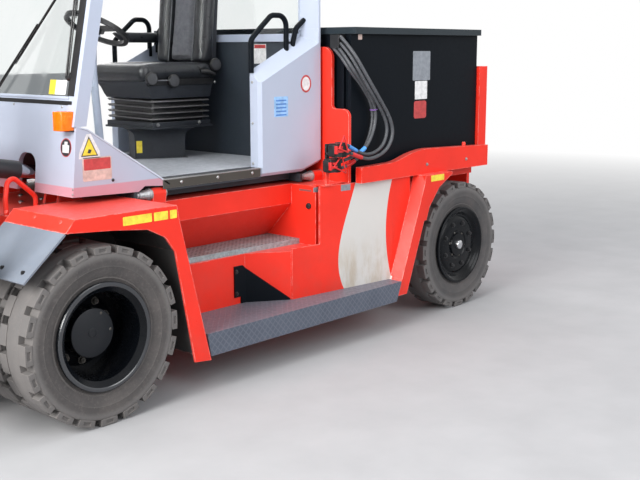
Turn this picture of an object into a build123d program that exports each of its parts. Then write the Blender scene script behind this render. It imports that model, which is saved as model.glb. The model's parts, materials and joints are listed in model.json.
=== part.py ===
"""Heavy electric forklift truck with twin front wheels, built as separate pieces.

Millimetres. X runs forward to the forks, Y to the left side, Z up from the ground.
Heights are given from the ground and places along the truck from the front axle.
"""
import math
import os

from build123d import *

# Wheels and tyres
tyre_radius = 415.0
tyre_width = 210.0
tyre_bore_radius = 238.0
tyre_seat_gap = 0.3
shoulder_radius = 386.0
shoulder_width = 58.0
shoulder_land = 10.0
bead_radius = 262.0
bead_depth = 23.0
lug_count = 20
lug_root_radius = 378.0
lug_half = 46.0
lug_taper = 4.0
twin_gap = 30.0
front_half_width = 1025.0
rear_half_width = 956.0
wheelbase = 2890.0
flange_radius = 252.0
flange_width = 19.0
rim_inner_radius = 206.0
rim_lip_depth = 22.0
hub_radius = 115.0
hub_nose_depth = 107.0
axle_tube_radius = 105.0
hub_back_radius = 140.0
disc_thickness = 20.0
running_gap = 0.3
twin_inner_face = front_half_width - 2.0 * tyre_width - twin_gap

# Overall reach from the front axle
fork_face_x = 650.0
fork_length = 1200.0
tail_reach = wheelbase + 610.0
fork_reach = fork_face_x + fork_length
front_axle_x = (tail_reach - fork_reach) / 2.0
rear_axle_x = front_axle_x - wheelbase

# Chassis
deck_z = 920.0
belly_z = 240.0
front_frame_half = twin_inner_face - 35.0
front_frame_front_x = 130.0
front_frame_low_z = 590.0
mid_start_x = -470.0
beam_half = 640.0
beam_low_z = 805.0
shelf_z = 575.0
shelf_in_half = 416.0
recess_half = front_half_width - 340.0
recess_seam_x = -1175.0
box_corner_x = -1400.0
box_corner_half = front_half_width - 185.0
panel_end_x = -wheelbase + 700.0
panel_end_half = front_half_width - 100.0
upper_panel_x = -1606.0
rear_box_end_x = -wheelbase + 525.0
spine_half = 280.0
spine_low_z = 520.0
rear_deck_low_z = 862.0
rear_deck_half = 850.0
rear_deck_end_x = -wheelbase - 260.0
panel_thickness = 10.0
panel_low_z = 205.0

stay_radius = 12.0
stay_route = [  # x from the front axle, y, height
    (-60.0, 412.0, 912.0),
    (-60.0, 412.0, 990.0),
    (85.0, 420.0, 1115.0),
    (118.0, 440.0, 1000.0),
    (118.0, 440.0, 912.0),
]

# Front fender, its arch and its leg
fender_top_z = 966.0
fender_plate = 12.0
fender_front_x = 138.0
fender_nose_x = 189.0
fender_nose_z = 911.0
fender_inner_half = twin_inner_face - 35.0
flap_front_x = 402.0
flap_low_z = 727.0
flap_thickness = 8.0
fender_outline = [  # x from the front axle, height
    (fender_front_x, fender_top_z),
    (fender_nose_x, fender_nose_z),
    (-60.0, 893.0),
    (-250.0, 872.0),
    (-352.0, 822.0),
    (-410.0, 744.0),
    (-517.0, 177.0),
    (-621.0, 165.0),
    (-440.0, 893.0),
    (-427.0, fender_top_z),
]

# Steps
step_top_z = 300.0
step_low_z = 182.0
step_half = front_half_width - 5.0
step_plate = 8.0
step_front_x = -626.0
step_rear_x = panel_end_x + 64.0
step_rear_lean = 46.0
step_end_lean = 23.0
grating_top_z = 605.0
grating_outer_half = 702.0
grating_front_x = -500.0
bracket_flange = (-1098.0, -1150.0, 340.0, 514.0)
bracket_tip = (-1393.0, 826.0, 300.0)
bracket_thickness = 8.0

# Rear fender leg
leg_half = front_half_width - 25.0
leg_crease_low_x = -wheelbase + 725.0
leg_crease_top_x = -wheelbase + 449.0
leg_low_z = 206.0
leg_flare = 28.0
leg_strip = 86.0

# Battery
battery_front_x = -1885.0
battery_rear_x = -wheelbase - 260.0
battery_half = front_half_width - 155.0
battery_top_z = 1770.0
lid_thickness = 38.0
lid_overhang = 30.0
lid_lip = 50.0
lid_plate = 6.0
hinge_offset = 15.0
hinge_radius = 9.0
battery_bar_thickness = 20.0
battery_bars = [  # inner side, outer side, top
    (800.0, 815.0, 1680.0),
    (850.0, 870.0, 1766.0),
]
gate_half = front_half_width - 75.0
gate_thickness = 45.0
gate_front_x = -1870.0
gate_rear_x = -wheelbase - 300.0

# Rear counterweight
slab_half = 890.0
slab_front_x = -wheelbase - 270.0
slab_rear_x = -wheelbase - 360.0
slab_top_z = 1572.0
weight_half = 640.0
weight_low_z = 330.0
weight_front_x = -wheelbase - 520.0
tow_pin_radius = 17.5
tow_jaw_z = 560.0
tow_jaw_gap = 80.0

# Cab
cab_half = 680.0
cab_wall = 25.0
cab_low_z = 1003.0
cab_chamfer_z = 1040.0
cab_front_x = -90.0
cab_waist_x = -135.0
cab_waist_z = 1423.0
glass_low_z = 1465.0
cab_roof_z = 2650.0
roof_thickness = 70.0
screen_slope = math.tan(math.radians(12.0))
cab_rear_x = -1815.0
rear_wall_x = -1715.0
rear_wall_back_x = -1790.0
rear_wall_top_z = 1728.0
ledge_top_z = 1772.0
floor_top_z = 1038.0
floor_thickness = 30.0
floor_half = cab_half - cab_wall
subframe_low_z = 940.0
subframe_top_z = 980.0
rail_y = 560.0
rail_front_x = -447.0
cabinet_front_x = -1318.0
cabinet_inner_half = 604.0
cabinet_top_z = 1567.0
cabinet_top_rise = 0.461
cabinet_top_fall = 70.0
cabinet_bevel = 18.0
cabinet_sections = [  # x from the front axle, inset of the outer face, bottom
    (cabinet_front_x, cabinet_bevel, 987.0),
    (cabinet_front_x - cabinet_bevel, 0.0, 987.0),
    (-1668.0, 0.0, 987.0),
    (cab_rear_x, 0.0, 1030.0),
]
pillar_width = 70.0
pillar_foot_z = 1330.0
rear_pillar_foot_z = 1800.0
rear_pillar_inner = 580.0
notch_inner = 205.0
notch_outer = 358.0
notch_top_z = 1188.0
notch_corner = 60.0
toe_board_foot_x = -480.0
bulkhead_x = -1858.0
bulkhead_thickness = 20.0
bulkhead_half = 878.0
bulkhead_neck = 748.0
bulkhead_shoulder_z = 1345.0
bulkhead_top_z = 1697.0

# Pivots that carry the cab, with their axes along the truck
pivot_y = 650.0
pivot_radius = 30.0
pivot_core = 12.0
cab_pivots = [  # tip of the cone, its base, front and rear of the ring, height
    (-464.0, -550.0, -564.0, -647.0, 969.0),
    (-1657.0, -1746.0, -1760.0, -1836.0, 952.0),
]

# Handrails on the cabinets
handrail_radius = 15.0
handrail_y = 612.0
handrails_route = [  # points of each tube, x from the front axle and height
    ([(-1322.0, 1556.0), (-1322.0, 1735.0), (-1400.0, 1803.0), (-1482.0, 1870.0), (-1600.0, 1870.0),
      (-1600.0, 1640.0)], [50.0, 60.0, 60.0, 60.0]),
    ([(-1653.0, 1665.0), (-1653.0, 1715.0), (-1682.0, 1803.0), (-1748.0, 1850.0)], [50.0, 50.0]),
]

# Indicators beside the front pillars
indicator_size = (90.0, 58.0, 92.0)
indicator_front_x = -55.0
indicator_inner = 582.0
indicator_low_z = 1310.0

# Seat
seat_y = -250.0
seat_half = 250.0
seat_front_x = -1046.0
seat_rear_x = -1614.0
seat_low_z = 1470.0
seat_top_z = 1600.0
pedestal_size = (275.0, 270.0)
pedestal_x = -1373.0
pedestal_turn = -37.0
pedestal_top_z = 1250.0
suspension_low_z = 1300.0
bellows_front_x = -1130.0
bellows_rear_x = -1602.0
bellows_half = 230.0
bellows_top_z = 1440.0
bellows_ribs = 4
seat_back_top_z = 2200.0
armrest_front_x = -1244.0
armrest_rear_x = -1600.0
armrest_low_z = 1730.0
armrest_top_z = 1789.0
column_y = -250.0
hand_wheel_x = -930.0
hand_wheel_z = 1790.0
hand_wheel_radius = 190.0

# Battery cables
cable_diameter = 20.0
connector_front_x = -1569.0
connector_rear_x = -1707.0
connector_low_z = 1000.0
connector_y = 927.5
connector_width = 95.0
cable_routes = [  # x from the front axle, y, height
    [(-1840, 812, 1754), (-1825, 912, 1682), (-1901, 958, 1534), (-2014, 966, 1397), (-2119, 961, 1283),
     (-2149, 961, 1184), (-2084, 961, 1094), (-1954, 961, 1057), (-1850, 961, 1070), (-1751, 961, 1108)],
    [(-1840, 812, 1716), (-1830, 886, 1664), (-1880, 938, 1534), (-1983, 946, 1412), (-2090, 939, 1298),
     (-2122, 939, 1208), (-2074, 939, 1117), (-1963, 939, 1078), (-1858, 939, 1096), (-1751, 939, 1150)],
    [(-1840, 801, 1690), (-1828, 860, 1642), (-1842, 907, 1568), (-1939, 914, 1470), (-2018, 917, 1370),
     (-2037, 917, 1288), (-2006, 917, 1196), (-1943, 917, 1116), (-1842, 917, 1078), (-1751, 917, 1062)],
    [(-1840, 762, 1690), (-1829, 828, 1642), (-1835, 884, 1568), (-1930, 893, 1481), (-2017, 895, 1381),
     (-2037, 895, 1287), (-2006, 895, 1177), (-1925, 895, 1072), (-1830, 895, 1030), (-1751, 895, 1016)],
]

# Mast
mast_rear_x = 330.0
channel_depth = 180.0
channel_plate = 20.0
channel_half = twin_inner_face - 85.0
channel_flange = 90.0
mast_low_z = 120.0
mast_top_z = 2750.0
mast_pivot_x = 300.0
mast_pivot_z = 330.0
pivot_pin_radius = 40.0
inner_half = channel_half - 26.0
inner_gap = 6.0
inner_low_z = 150.0
head_thickness = 30.0
head_z = mast_top_z + 8.0
cylinder_y = channel_half - 50.0
cylinder_x = 285.0
barrel_radius = 42.0
rod_radius = 30.0
rod_low_z = 360.0
sheave_radius = 75.0
sheave_y = 155.0
sheave_x = 424.0
sheave_width = 30.0
chain_thickness = 16.0
chain_width = 24.0
carriage_half = 900.0
carriage_bar_depth = 62.0
carriage_bar_height = 100.0
carriage_low_z = 260.0
carriage_high_z = 760.0
carriage_plate_half = channel_half - 106.0
backrest_top_z = 1500.0
fork_y = 350.0
fork_width = 160.0
fork_thickness = 70.0
fork_top_z = 100.0
fork_tip_thickness = 16.0

# Tilt cylinders
tilt_y = 300.0
tilt_anchor_x = -300.0
tilt_anchor_z = 1062.0
tilt_mast_x = 240.0
tilt_slope = math.tan(math.radians(10.0))
tilt_barrel_radius = 46.0
tilt_rod_radius = 35.0
tilt_barrel_length = 282.0
tilt_eye_radius = 38.0
tilt_pin_radius = 18.0
tilt_ear_gap = 96.0
tilt_eye_play = 5.0
tilt_bore_start = 50.0
tilt_rod_start = 180.0

# Steering
kingpin_y = rear_half_width - 316.0
kingpin_radius = 32.0

wheel_z = tyre_radius
tilt_mast_z = tilt_anchor_z + (tilt_mast_x - tilt_anchor_x) * tilt_slope
tilt_length = math.hypot(tilt_mast_x - tilt_anchor_x, tilt_mast_z - tilt_anchor_z)
tilt_angle = math.atan2(tilt_mast_z - tilt_anchor_z, tilt_mast_x - tilt_anchor_x)


def at_axle(x):
    """Place along the truck of a distance measured from the front axle."""
    return front_axle_x + x


def side_plane(y):
    """Upright plane along the truck; its extrusions run towards the right side."""
    return Plane(origin=(0, y, 0), x_dir=(1, 0, 0), z_dir=(0, -1, 0))


def cross_plane(x):
    """Upright plane across the truck, at a distance from the front axle."""
    return Plane(origin=(at_axle(x), 0, 0), x_dir=(0, 1, 0), z_dir=(1, 0, 0))


def from_axle(points):
    """Outline points with their x moved from the front axle to the truck's frame."""
    return [(at_axle(x), other) for x, other in points]


def tyre_plane(axle_x, y):
    """Plane of a wheel's face; its extrusions run towards the right side."""
    return Plane(origin=(axle_x, y, wheel_z), x_dir=(1, 0, 0), z_dir=(0, -1, 0))


def tyre(axle_x, outer_y):
    """Solid tyre: faceted body, plain centre band, and lugs round both shoulders."""
    turn = 180.0 / lug_count
    lug_top = math.sqrt(tyre_radius ** 2 - lug_half ** 2)
    root_half = lug_half - lug_taper
    with BuildPart() as body:
        with BuildSketch(tyre_plane(axle_x, outer_y)):
            RegularPolygon(shoulder_radius, lug_count, rotation=turn)
        extrude(amount=tyre_width)
        for face_y, deep_y in ((outer_y, outer_y - bead_depth),
                               (outer_y - tyre_width, outer_y - tyre_width + bead_depth)):
            with BuildSketch(tyre_plane(axle_x, face_y)):
                RegularPolygon(shoulder_radius - shoulder_land, lug_count, rotation=turn)
            with BuildSketch(tyre_plane(axle_x, deep_y)):
                RegularPolygon(bead_radius, lug_count, rotation=turn)
            loft(ruled=True, mode=Mode.SUBTRACT)
        with BuildSketch(tyre_plane(axle_x, outer_y - shoulder_width)):
            RegularPolygon(tyre_radius, 2 * lug_count, rotation=turn)
        extrude(amount=tyre_width - 2.0 * shoulder_width)
        for face_y, phase in ((outer_y, 0.0), (outer_y - tyre_width + shoulder_width, turn)):
            with BuildSketch(tyre_plane(axle_x, face_y)):
                with PolarLocations(0, lug_count, start_angle=phase):
                    Polygon((lug_root_radius, -root_half), (lug_top, -lug_half), (lug_top, lug_half),
                            (lug_root_radius, root_half), align=None)
            extrude(amount=shoulder_width)
        with BuildSketch(tyre_plane(axle_x, outer_y)):
            RegularPolygon(tyre_bore_radius, lug_count, rotation=turn, major_radius=False)
        extrude(amount=tyre_width, mode=Mode.SUBTRACT)
    return body.part


pieces = {}


def keep(name, part):
    """Label a finished piece and put it in the list of nodes."""
    part.label = name
    pieces[name] = part


# Front wheels: two tyres on one deep rim each side, turning as one body
disc_y = front_half_width - tyre_width - twin_gap / 2.0


def front_tyres(side):
    """Both tyres of one side's twin wheel."""
    with BuildPart() as tyres:
        add(tyre(front_axle_x, front_half_width))
        add(tyre(front_axle_x, front_half_width - tyre_width - twin_gap))
    return tyres.part if side > 0 else tyres.part.mirror(Plane.XZ)


def front_rim(side):
    """Deep-dished rim of the twin wheel with its hub."""
    seat = tyre_bore_radius - tyre_seat_gap
    outer = front_half_width - 3.0
    inner = twin_inner_face + 3.0
    profile = [
        (0.0, inner - 15.0),
        (hub_back_radius, inner - 15.0),
        (hub_back_radius, disc_y - disc_thickness / 2.0),
        (rim_inner_radius, disc_y - disc_thickness / 2.0),
        (rim_inner_radius, inner + rim_lip_depth),
        (flange_radius - 22.0, inner),
        (flange_radius, inner),
        (flange_radius, inner + flange_width - 5.0),
        (seat, inner + flange_width),
        (seat, outer - flange_width),
        (flange_radius, outer - flange_width + 5.0),
        (flange_radius, outer),
        (flange_radius - 22.0, outer),
        (rim_inner_radius, outer - rim_lip_depth),
        (rim_inner_radius, disc_y + disc_thickness / 2.0),
        (hub_radius, disc_y + disc_thickness / 2.0),
        (hub_radius, front_half_width - hub_nose_depth),
        (0.0, front_half_width - hub_nose_depth),
    ]
    with BuildPart() as rim:
        with BuildSketch(cross_plane(0)):
            Polygon(*[(y, wheel_z + r) for r, y in profile], align=None)
        revolve(axis=Axis((front_axle_x, 0, wheel_z), (0, 1, 0)))
    return rim.part if side > 0 else rim.part.mirror(Plane.XZ)


def rear_tyre(side):
    """Single tyre of one steered wheel."""
    part = tyre(rear_axle_x, rear_half_width)
    return part if side > 0 else part.mirror(Plane.XZ)


rear_disc_y = rear_half_width - 76.0
rear_hub_back_y = rear_half_width - 170.0


def rear_rim(side):
    """Steered wheel's rim with its disc and the small hub cap."""
    seat = tyre_bore_radius - tyre_seat_gap
    outer = rear_half_width - 3.0
    inner = rear_half_width - tyre_width + 3.0
    profile = [
        (0.0, rear_hub_back_y),
        (95.0, rear_hub_back_y),
        (95.0, rear_disc_y - disc_thickness),
        (rim_inner_radius + 12.0, rear_disc_y - disc_thickness),
        (rim_inner_radius + 12.0, inner + rim_lip_depth),
        (flange_radius - 12.0, inner),
        (flange_radius, inner),
        (flange_radius, inner + flange_width - 5.0),
        (seat, inner + flange_width),
        (seat, outer - flange_width),
        (flange_radius, outer - flange_width + 5.0),
        (flange_radius, outer),
        (flange_radius - 15.0, outer),
        (rim_inner_radius, outer - rim_lip_depth),
        (rim_inner_radius, rear_disc_y + 12.0),
        (rim_inner_radius - 25.0, rear_disc_y),
        (80.0, rear_disc_y),
        (74.0, rear_disc_y + 10.0),
        (28.0, rear_disc_y + 10.0),
        (28.0, rear_disc_y + 26.0),
        (0.0, rear_disc_y + 26.0),
    ]
    with BuildPart() as rim:
        with BuildSketch(cross_plane(-wheelbase)):
            Polygon(*[(y, wheel_z + r) for r, y in profile], align=None)
        revolve(axis=Axis((rear_axle_x, 0, wheel_z), (0, 1, 0)))
    return rim.part if side > 0 else rim.part.mirror(Plane.XZ)


def knuckle(side):
    """Steering knuckle: a block round the kingpin, with the wheel's spindle flange."""
    with BuildPart() as piece:
        with BuildSketch(Plane.XY.offset(wheel_z - 95.0)):
            with Locations((rear_axle_x, kingpin_y)):
                Circle(52)
        extrude(amount=190)
        with BuildSketch(Plane(origin=(rear_axle_x, kingpin_y + 20, wheel_z), x_dir=(1, 0, 0), z_dir=(0, 1, 0))):
            Circle(78)
        extrude(amount=rear_hub_back_y - running_gap - kingpin_y - 20)
        with Locations((rear_axle_x, kingpin_y, wheel_z + 14)):
            Cylinder(kingpin_radius - running_gap, 290)
        with BuildSketch(Plane.XY.offset(wheel_z + 129.0)):
            with Locations((rear_axle_x + 70.0, kingpin_y - 15)):
                SlotCenterToCenter(150, 64)
        extrude(amount=25)
    return piece.part if side > 0 else piece.part.mirror(Plane.XZ)


for side, hand in ((1, "left"), (-1, "right")):
    keep(f"front_tyres_{hand}", front_tyres(side))
    keep(f"front_rim_{hand}", front_rim(side))
    keep(f"rear_tyre_{hand}", rear_tyre(side))
    keep(f"rear_rim_{hand}", rear_rim(side))
    keep(f"steering_knuckle_{hand}", knuckle(side))

# Drive axle between the twin wheels
axle_end_y = twin_inner_face + 3.0 - 15.0 - running_gap
with BuildPart() as drive_axle:
    with Locations((front_axle_x, 0, wheel_z)):
        Cylinder(axle_tube_radius, 2 * axle_end_y, rotation=(90, 0, 0))
        Cylinder(168, 320, rotation=(90, 0, 0))
    for half in (250.0, -250.0):
        with Locations((front_axle_x, half, (wheel_z + front_frame_low_z) / 2)):
            Box(170, 120, front_frame_low_z - wheel_z)
keep("drive_axle", drive_axle.part)

# Arms clamped round the axle, with the bearings that carry the mast
arm_in_half = channel_half + 20.0
arm_thickness = 32.0
with BuildPart() as mast_arms:
    for half in (arm_in_half, -arm_in_half - arm_thickness):
        with BuildSketch(side_plane(half + arm_thickness)):
            Polygon(
                *from_axle([(-140, 290), (mast_pivot_x - 30, 262), (mast_pivot_x + 50, 262),
                            (mast_pivot_x + 72, 330), (mast_pivot_x + 50, 398),
                            (mast_pivot_x - 30, 398), (140, 560), (-140, 560)]),
                align=None,
            )
            with Locations((front_axle_x, wheel_z)):
                Circle(axle_tube_radius, mode=Mode.SUBTRACT)
            with Locations((at_axle(mast_pivot_x), mast_pivot_z)):
                Circle(pivot_pin_radius + running_gap, mode=Mode.SUBTRACT)
        extrude(amount=arm_thickness)
keep("mast_arms", mast_arms.part)

# Steer axle: a deep beam with a yoke at each end round the knuckle
with BuildPart() as steer_axle:
    with Locations((rear_axle_x, 0, wheel_z)):
        Box(150, 2 * (kingpin_y - 90.0), 120)
    for half in (kingpin_y, -kingpin_y):
        for height in (wheel_z + 95.3, wheel_z - 125.3):
            with BuildSketch(Plane.XY.offset(height)):
                with Locations((rear_axle_x, half)):
                    Circle(58)
                with Locations((rear_axle_x, half - math.copysign(60.0, half))):
                    Rectangle(116, 120)
            extrude(amount=30)
        with Locations((rear_axle_x, half - math.copysign(106.0, half), wheel_z)):
            Box(116, 40, 250)
        with Locations((rear_axle_x, half, wheel_z)):
            Cylinder(kingpin_radius, 400, mode=Mode.SUBTRACT)
    with Locations((rear_axle_x, 0, (wheel_z + spine_low_z) / 2 + 30)):
        Box(220, 160, spine_low_z - wheel_z - 60)
keep("steer_axle", steer_axle.part)

# Chassis frame: front frame over the axle, waisted middle, box and spine at the rear
with BuildPart() as chassis_frame:
    with BuildSketch(side_plane(front_frame_half)):
        Polygon(
            *from_axle([(front_frame_front_x, front_frame_low_z), (front_frame_front_x, deck_z),
                        (mid_start_x - 10, deck_z), (mid_start_x - 10, front_frame_low_z)]),
            align=None,
        )
    extrude(amount=2 * front_frame_half)
    mid_section = [
        (0, belly_z), (recess_half, belly_z), (recess_half, shelf_z), (shelf_in_half, shelf_z),
        (beam_half, beam_low_z), (beam_half, deck_z), (-beam_half, deck_z),
        (-beam_half, beam_low_z), (-shelf_in_half, shelf_z), (-recess_half, shelf_z),
        (-recess_half, belly_z),
    ]
    with BuildSketch(cross_plane(rear_box_end_x)):
        Polygon(*mid_section, align=None)
    extrude(amount=mid_start_x - 150.0 - rear_box_end_x)
    with BuildSketch(cross_plane(mid_start_x - 150.0)):
        Polygon((-front_frame_half, belly_z), (front_frame_half, belly_z),
                (front_frame_half, deck_z), (-front_frame_half, deck_z), align=None)
    extrude(amount=150.0)
    with BuildSketch(Plane.XY.offset(belly_z)):
        for s in (1, -1):
            Polygon(
                *[(at_axle(x), s * y) for x, y in [
                    (recess_seam_x, recess_half - 5), (box_corner_x, box_corner_half - panel_thickness),
                    (rear_box_end_x, box_corner_half - panel_thickness), (rear_box_end_x, 0),
                    (recess_seam_x, 0)]],
                align=None,
            )
    extrude(amount=shelf_z - belly_z)
    with BuildSketch(Plane.XY.offset(belly_z)):
        Polygon(
            *from_axle([(upper_panel_x, -box_corner_half + panel_thickness),
                        (upper_panel_x, box_corner_half - panel_thickness),
                        (rear_box_end_x, box_corner_half - panel_thickness),
                        (rear_box_end_x, -box_corner_half + panel_thickness)]),
            align=None,
        )
    extrude(amount=deck_z - belly_z)
    with BuildSketch(side_plane(spine_half)):
        Polygon(
            *from_axle([(rear_box_end_x, spine_low_z), (rear_box_end_x, deck_z),
                        (rear_deck_end_x, deck_z), (rear_deck_end_x, spine_low_z)]),
            align=None,
        )
    extrude(amount=2 * spine_half)
    with BuildSketch(side_plane(rear_deck_half)):
        Polygon(
            *from_axle([(rear_box_end_x, rear_deck_low_z), (rear_box_end_x, deck_z),
                        (rear_deck_end_x, deck_z), (rear_deck_end_x, rear_deck_low_z)]),
            align=None,
        )
    extrude(amount=2 * rear_deck_half)
    for s in (1, -1):
        for y in (tilt_y - tilt_ear_gap / 2 - 20, tilt_y + tilt_ear_gap / 2):
            with BuildSketch(side_plane(s * y + (20 if s > 0 else 0))):
                Polygon(*from_axle([(tilt_anchor_x - 70, deck_z - 5), (tilt_anchor_x - 38, tilt_anchor_z + 30),
                                    (tilt_anchor_x + 38, tilt_anchor_z + 30), (tilt_anchor_x + 90, deck_z - 5)]),
                        align=None)
            extrude(amount=20)
        with Locations((at_axle(tilt_anchor_x), s * tilt_y, tilt_anchor_z)):
            Cylinder(tilt_pin_radius, tilt_ear_gap + 50, rotation=(90, 0, 0))
        for _, _, ring_front_x, ring_rear_x, ring_z in cab_pivots:
            with BuildSketch(cross_plane(ring_rear_x)):
                Polygon((s * (pivot_y - 50), deck_z - 5), (s * (pivot_y - 20), beam_low_z + 80),
                        (s * (pivot_y + 25), deck_z), (s * (pivot_y + pivot_radius), ring_z),
                        (s * (pivot_y - pivot_radius), ring_z), align=None)
                with Locations((s * pivot_y, ring_z)):
                    Circle(pivot_radius)
            extrude(amount=ring_front_x - ring_rear_x)
    with BuildLine() as stay_line:
        FilletPolyline(*[(at_axle(x), y, z) for x, y, z in stay_route], radius=40)
    with BuildSketch(Plane(origin=stay_line.line @ 0, z_dir=stay_line.line % 0)):
        Circle(stay_radius)
    sweep()
keep("chassis_frame", chassis_frame.part)

# Front fenders: side plate with the arch, top deck, sloped nose and inner liner
with BuildPart() as front_fenders:
    with BuildSketch(side_plane(front_half_width)):
        Polygon(*from_axle(fender_outline), align=None)
    extrude(amount=fender_plate)
    with BuildSketch(side_plane(front_half_width)):
        Polygon(
            *from_axle([(fender_front_x, fender_top_z), (fender_nose_x, fender_nose_z),
                        (fender_nose_x - 14, fender_nose_z - 3), (fender_front_x - 8, fender_top_z - fender_plate),
                        (-427, fender_top_z - fender_plate), (-427, fender_top_z)]),
            align=None,
        )
    extrude(amount=front_half_width - fender_inner_half)
    with BuildSketch(side_plane(front_half_width)):
        Polygon(
            *from_axle([(-250, 960), (-250, 880), (-360, 826), (-418, 746), (-518, 215), (-530, 215),
                        (-430, 750), (-372, 836), (-262, 892), (-262, 960)]),
            align=None,
        )
    extrude(amount=front_half_width - fender_inner_half)
    mirror(about=Plane.XZ)
keep("front_fenders", front_fenders.part)

with BuildPart() as front_flaps:
    with BuildSketch(side_plane(front_half_width - 5)):
        Polygon(
            *from_axle([(fender_nose_x + 0.5, fender_nose_z), (flap_front_x, flap_low_z),
                        (flap_front_x - 5, flap_low_z - 6), (fender_nose_x - 5, fender_nose_z - 8)]),
            align=None,
        )
    extrude(amount=front_half_width - 5 - fender_inner_half)
    mirror(about=Plane.XZ)
keep("front_flaps", front_flaps.part)

# Side panels with the rear fender's leg and arch
with BuildPart() as side_panels:
    lower_panel = [
        (box_corner_x, box_corner_half), (panel_end_x, panel_end_half),
        (panel_end_x, panel_end_half - panel_thickness),
        (box_corner_x, box_corner_half - panel_thickness),
    ]
    with BuildSketch(Plane.XY.offset(panel_low_z)):
        Polygon(*from_axle(lower_panel), align=None)
    extrude(amount=shelf_z + 15 - panel_low_z)
    share = (upper_panel_x - box_corner_x) / (panel_end_x - box_corner_x)
    upper_half = box_corner_half + share * (panel_end_half - box_corner_half)
    with BuildSketch(Plane.XY.offset(panel_low_z)):
        Polygon(
            *from_axle([(upper_panel_x, upper_half), (panel_end_x, panel_end_half),
                        (rear_box_end_x, panel_end_half), (rear_box_end_x, box_corner_half),
                        (panel_end_x, panel_end_half - panel_thickness),
                        (upper_panel_x, upper_half - panel_thickness)]),
            align=None,
        )
    extrude(amount=deck_z - panel_low_z)
    slant = Vector(leg_crease_top_x - leg_crease_low_x, 0, deck_z - leg_low_z)
    with BuildSketch(Plane.XY.offset(leg_low_z)) as leg_section:
        Polygon(
            *from_axle([(leg_crease_low_x + leg_flare, panel_end_half - 10),
                        (leg_crease_low_x, leg_half), (leg_crease_low_x - leg_strip, leg_half),
                        (leg_crease_low_x - leg_strip, panel_end_half - 10)]),
            align=None,
        )
    extrude(amount=slant.length, dir=slant.normalized())
    with BuildSketch(side_plane(leg_half)):
        Polygon(
            *from_axle([(-2390, 640), (-2441, 640), (-2471, 719), (-2573, 834), (-2712, 907),
                        (-2712, deck_z), (-2430, deck_z)]),
            align=None,
        )
    extrude(amount=leg_half - panel_end_half + 10)
    mirror(about=Plane.XZ)
keep("side_panels", side_panels.part)

# Steps on each side
with BuildPart() as lower_steps:
    with BuildSketch(side_plane(step_half)):
        Polygon(*from_axle([(step_front_x, step_low_z), (step_front_x + step_end_lean, step_top_z),
                            (step_rear_x - step_rear_lean, step_top_z), (step_rear_x, step_low_z)]), align=None)
    extrude(amount=step_half - recess_half)
    with BuildSketch(side_plane(step_half - step_plate)):
        Polygon(*from_axle([(step_front_x - step_plate, step_low_z - 1),
                            (step_front_x + step_end_lean - step_plate, step_top_z - step_plate),
                            (step_rear_x - step_rear_lean + step_plate, step_top_z - step_plate),
                            (step_rear_x + step_plate, step_low_z - 1)]), align=None)
    extrude(amount=step_half - recess_half, mode=Mode.SUBTRACT)
    with BuildSketch(Plane.XY.offset(step_low_z - 5)):
        Polygon(*from_axle([(recess_seam_x, recess_half - 20), (recess_seam_x, recess_half),
                            (box_corner_x, box_corner_half + 0.3), (panel_end_x, panel_end_half + 0.3),
                            (panel_end_x - 30, panel_end_half), (panel_end_x - 30, recess_half - 20)]), align=None)
    extrude(amount=step_top_z - step_low_z + 10, mode=Mode.SUBTRACT)
    mirror(about=Plane.XZ)
keep("lower_steps", lower_steps.part)

with BuildPart() as upper_steps:
    with BuildSketch(Plane.XY.offset(shelf_z)):
        Polygon(
            *from_axle([(grating_front_x - 140, recess_half - 30), (upper_panel_x, grating_outer_half),
                        (upper_panel_x, shelf_in_half + 34), (grating_front_x - 140, shelf_in_half + 34)]),
            align=None,
        )
    extrude(amount=grating_top_z - shelf_z)
    mirror(about=Plane.XZ)
keep("upper_steps", upper_steps.part)

# Plates that stiffen the lower steps, bolted to the recess
flange_front_x, flange_rear_x, flange_low_z, flange_top_z = bracket_flange
tip_x, tip_y, tip_z = bracket_tip
with BuildPart() as step_brackets:
    with BuildSketch(side_plane(recess_half + bracket_thickness)):
        with BuildLine():
            Polyline(*from_axle([(flange_front_x, flange_low_z), (flange_front_x, flange_top_z),
                                 (flange_rear_x, flange_top_z), (flange_rear_x, flange_low_z),
                                 (flange_front_x, flange_low_z)]))
        make_face()
    extrude(amount=bracket_thickness)
    with BuildSketch(Plane.XY.offset(step_top_z)):
        Polygon(*from_axle([(flange_rear_x + 4, recess_half + running_gap), (flange_rear_x - 32, recess_half + running_gap),
                            (tip_x, tip_y), (tip_x + 5, tip_y + bracket_thickness),
                            (flange_rear_x - 28, recess_half + bracket_thickness),
                            (flange_rear_x + 4, recess_half + bracket_thickness)]), align=None)
    extrude(amount=flange_top_z - step_top_z)
    with BuildSketch(side_plane(front_half_width)):
        Polygon(*from_axle([(flange_rear_x - 8, flange_top_z + 1), (tip_x - 5, flange_top_z + 1), (tip_x - 5, step_top_z)]),
                align=None)
    extrude(amount=front_half_width - recess_half + 20, mode=Mode.SUBTRACT)
    mirror(about=Plane.XZ)
keep("step_brackets", step_brackets.part)

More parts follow.
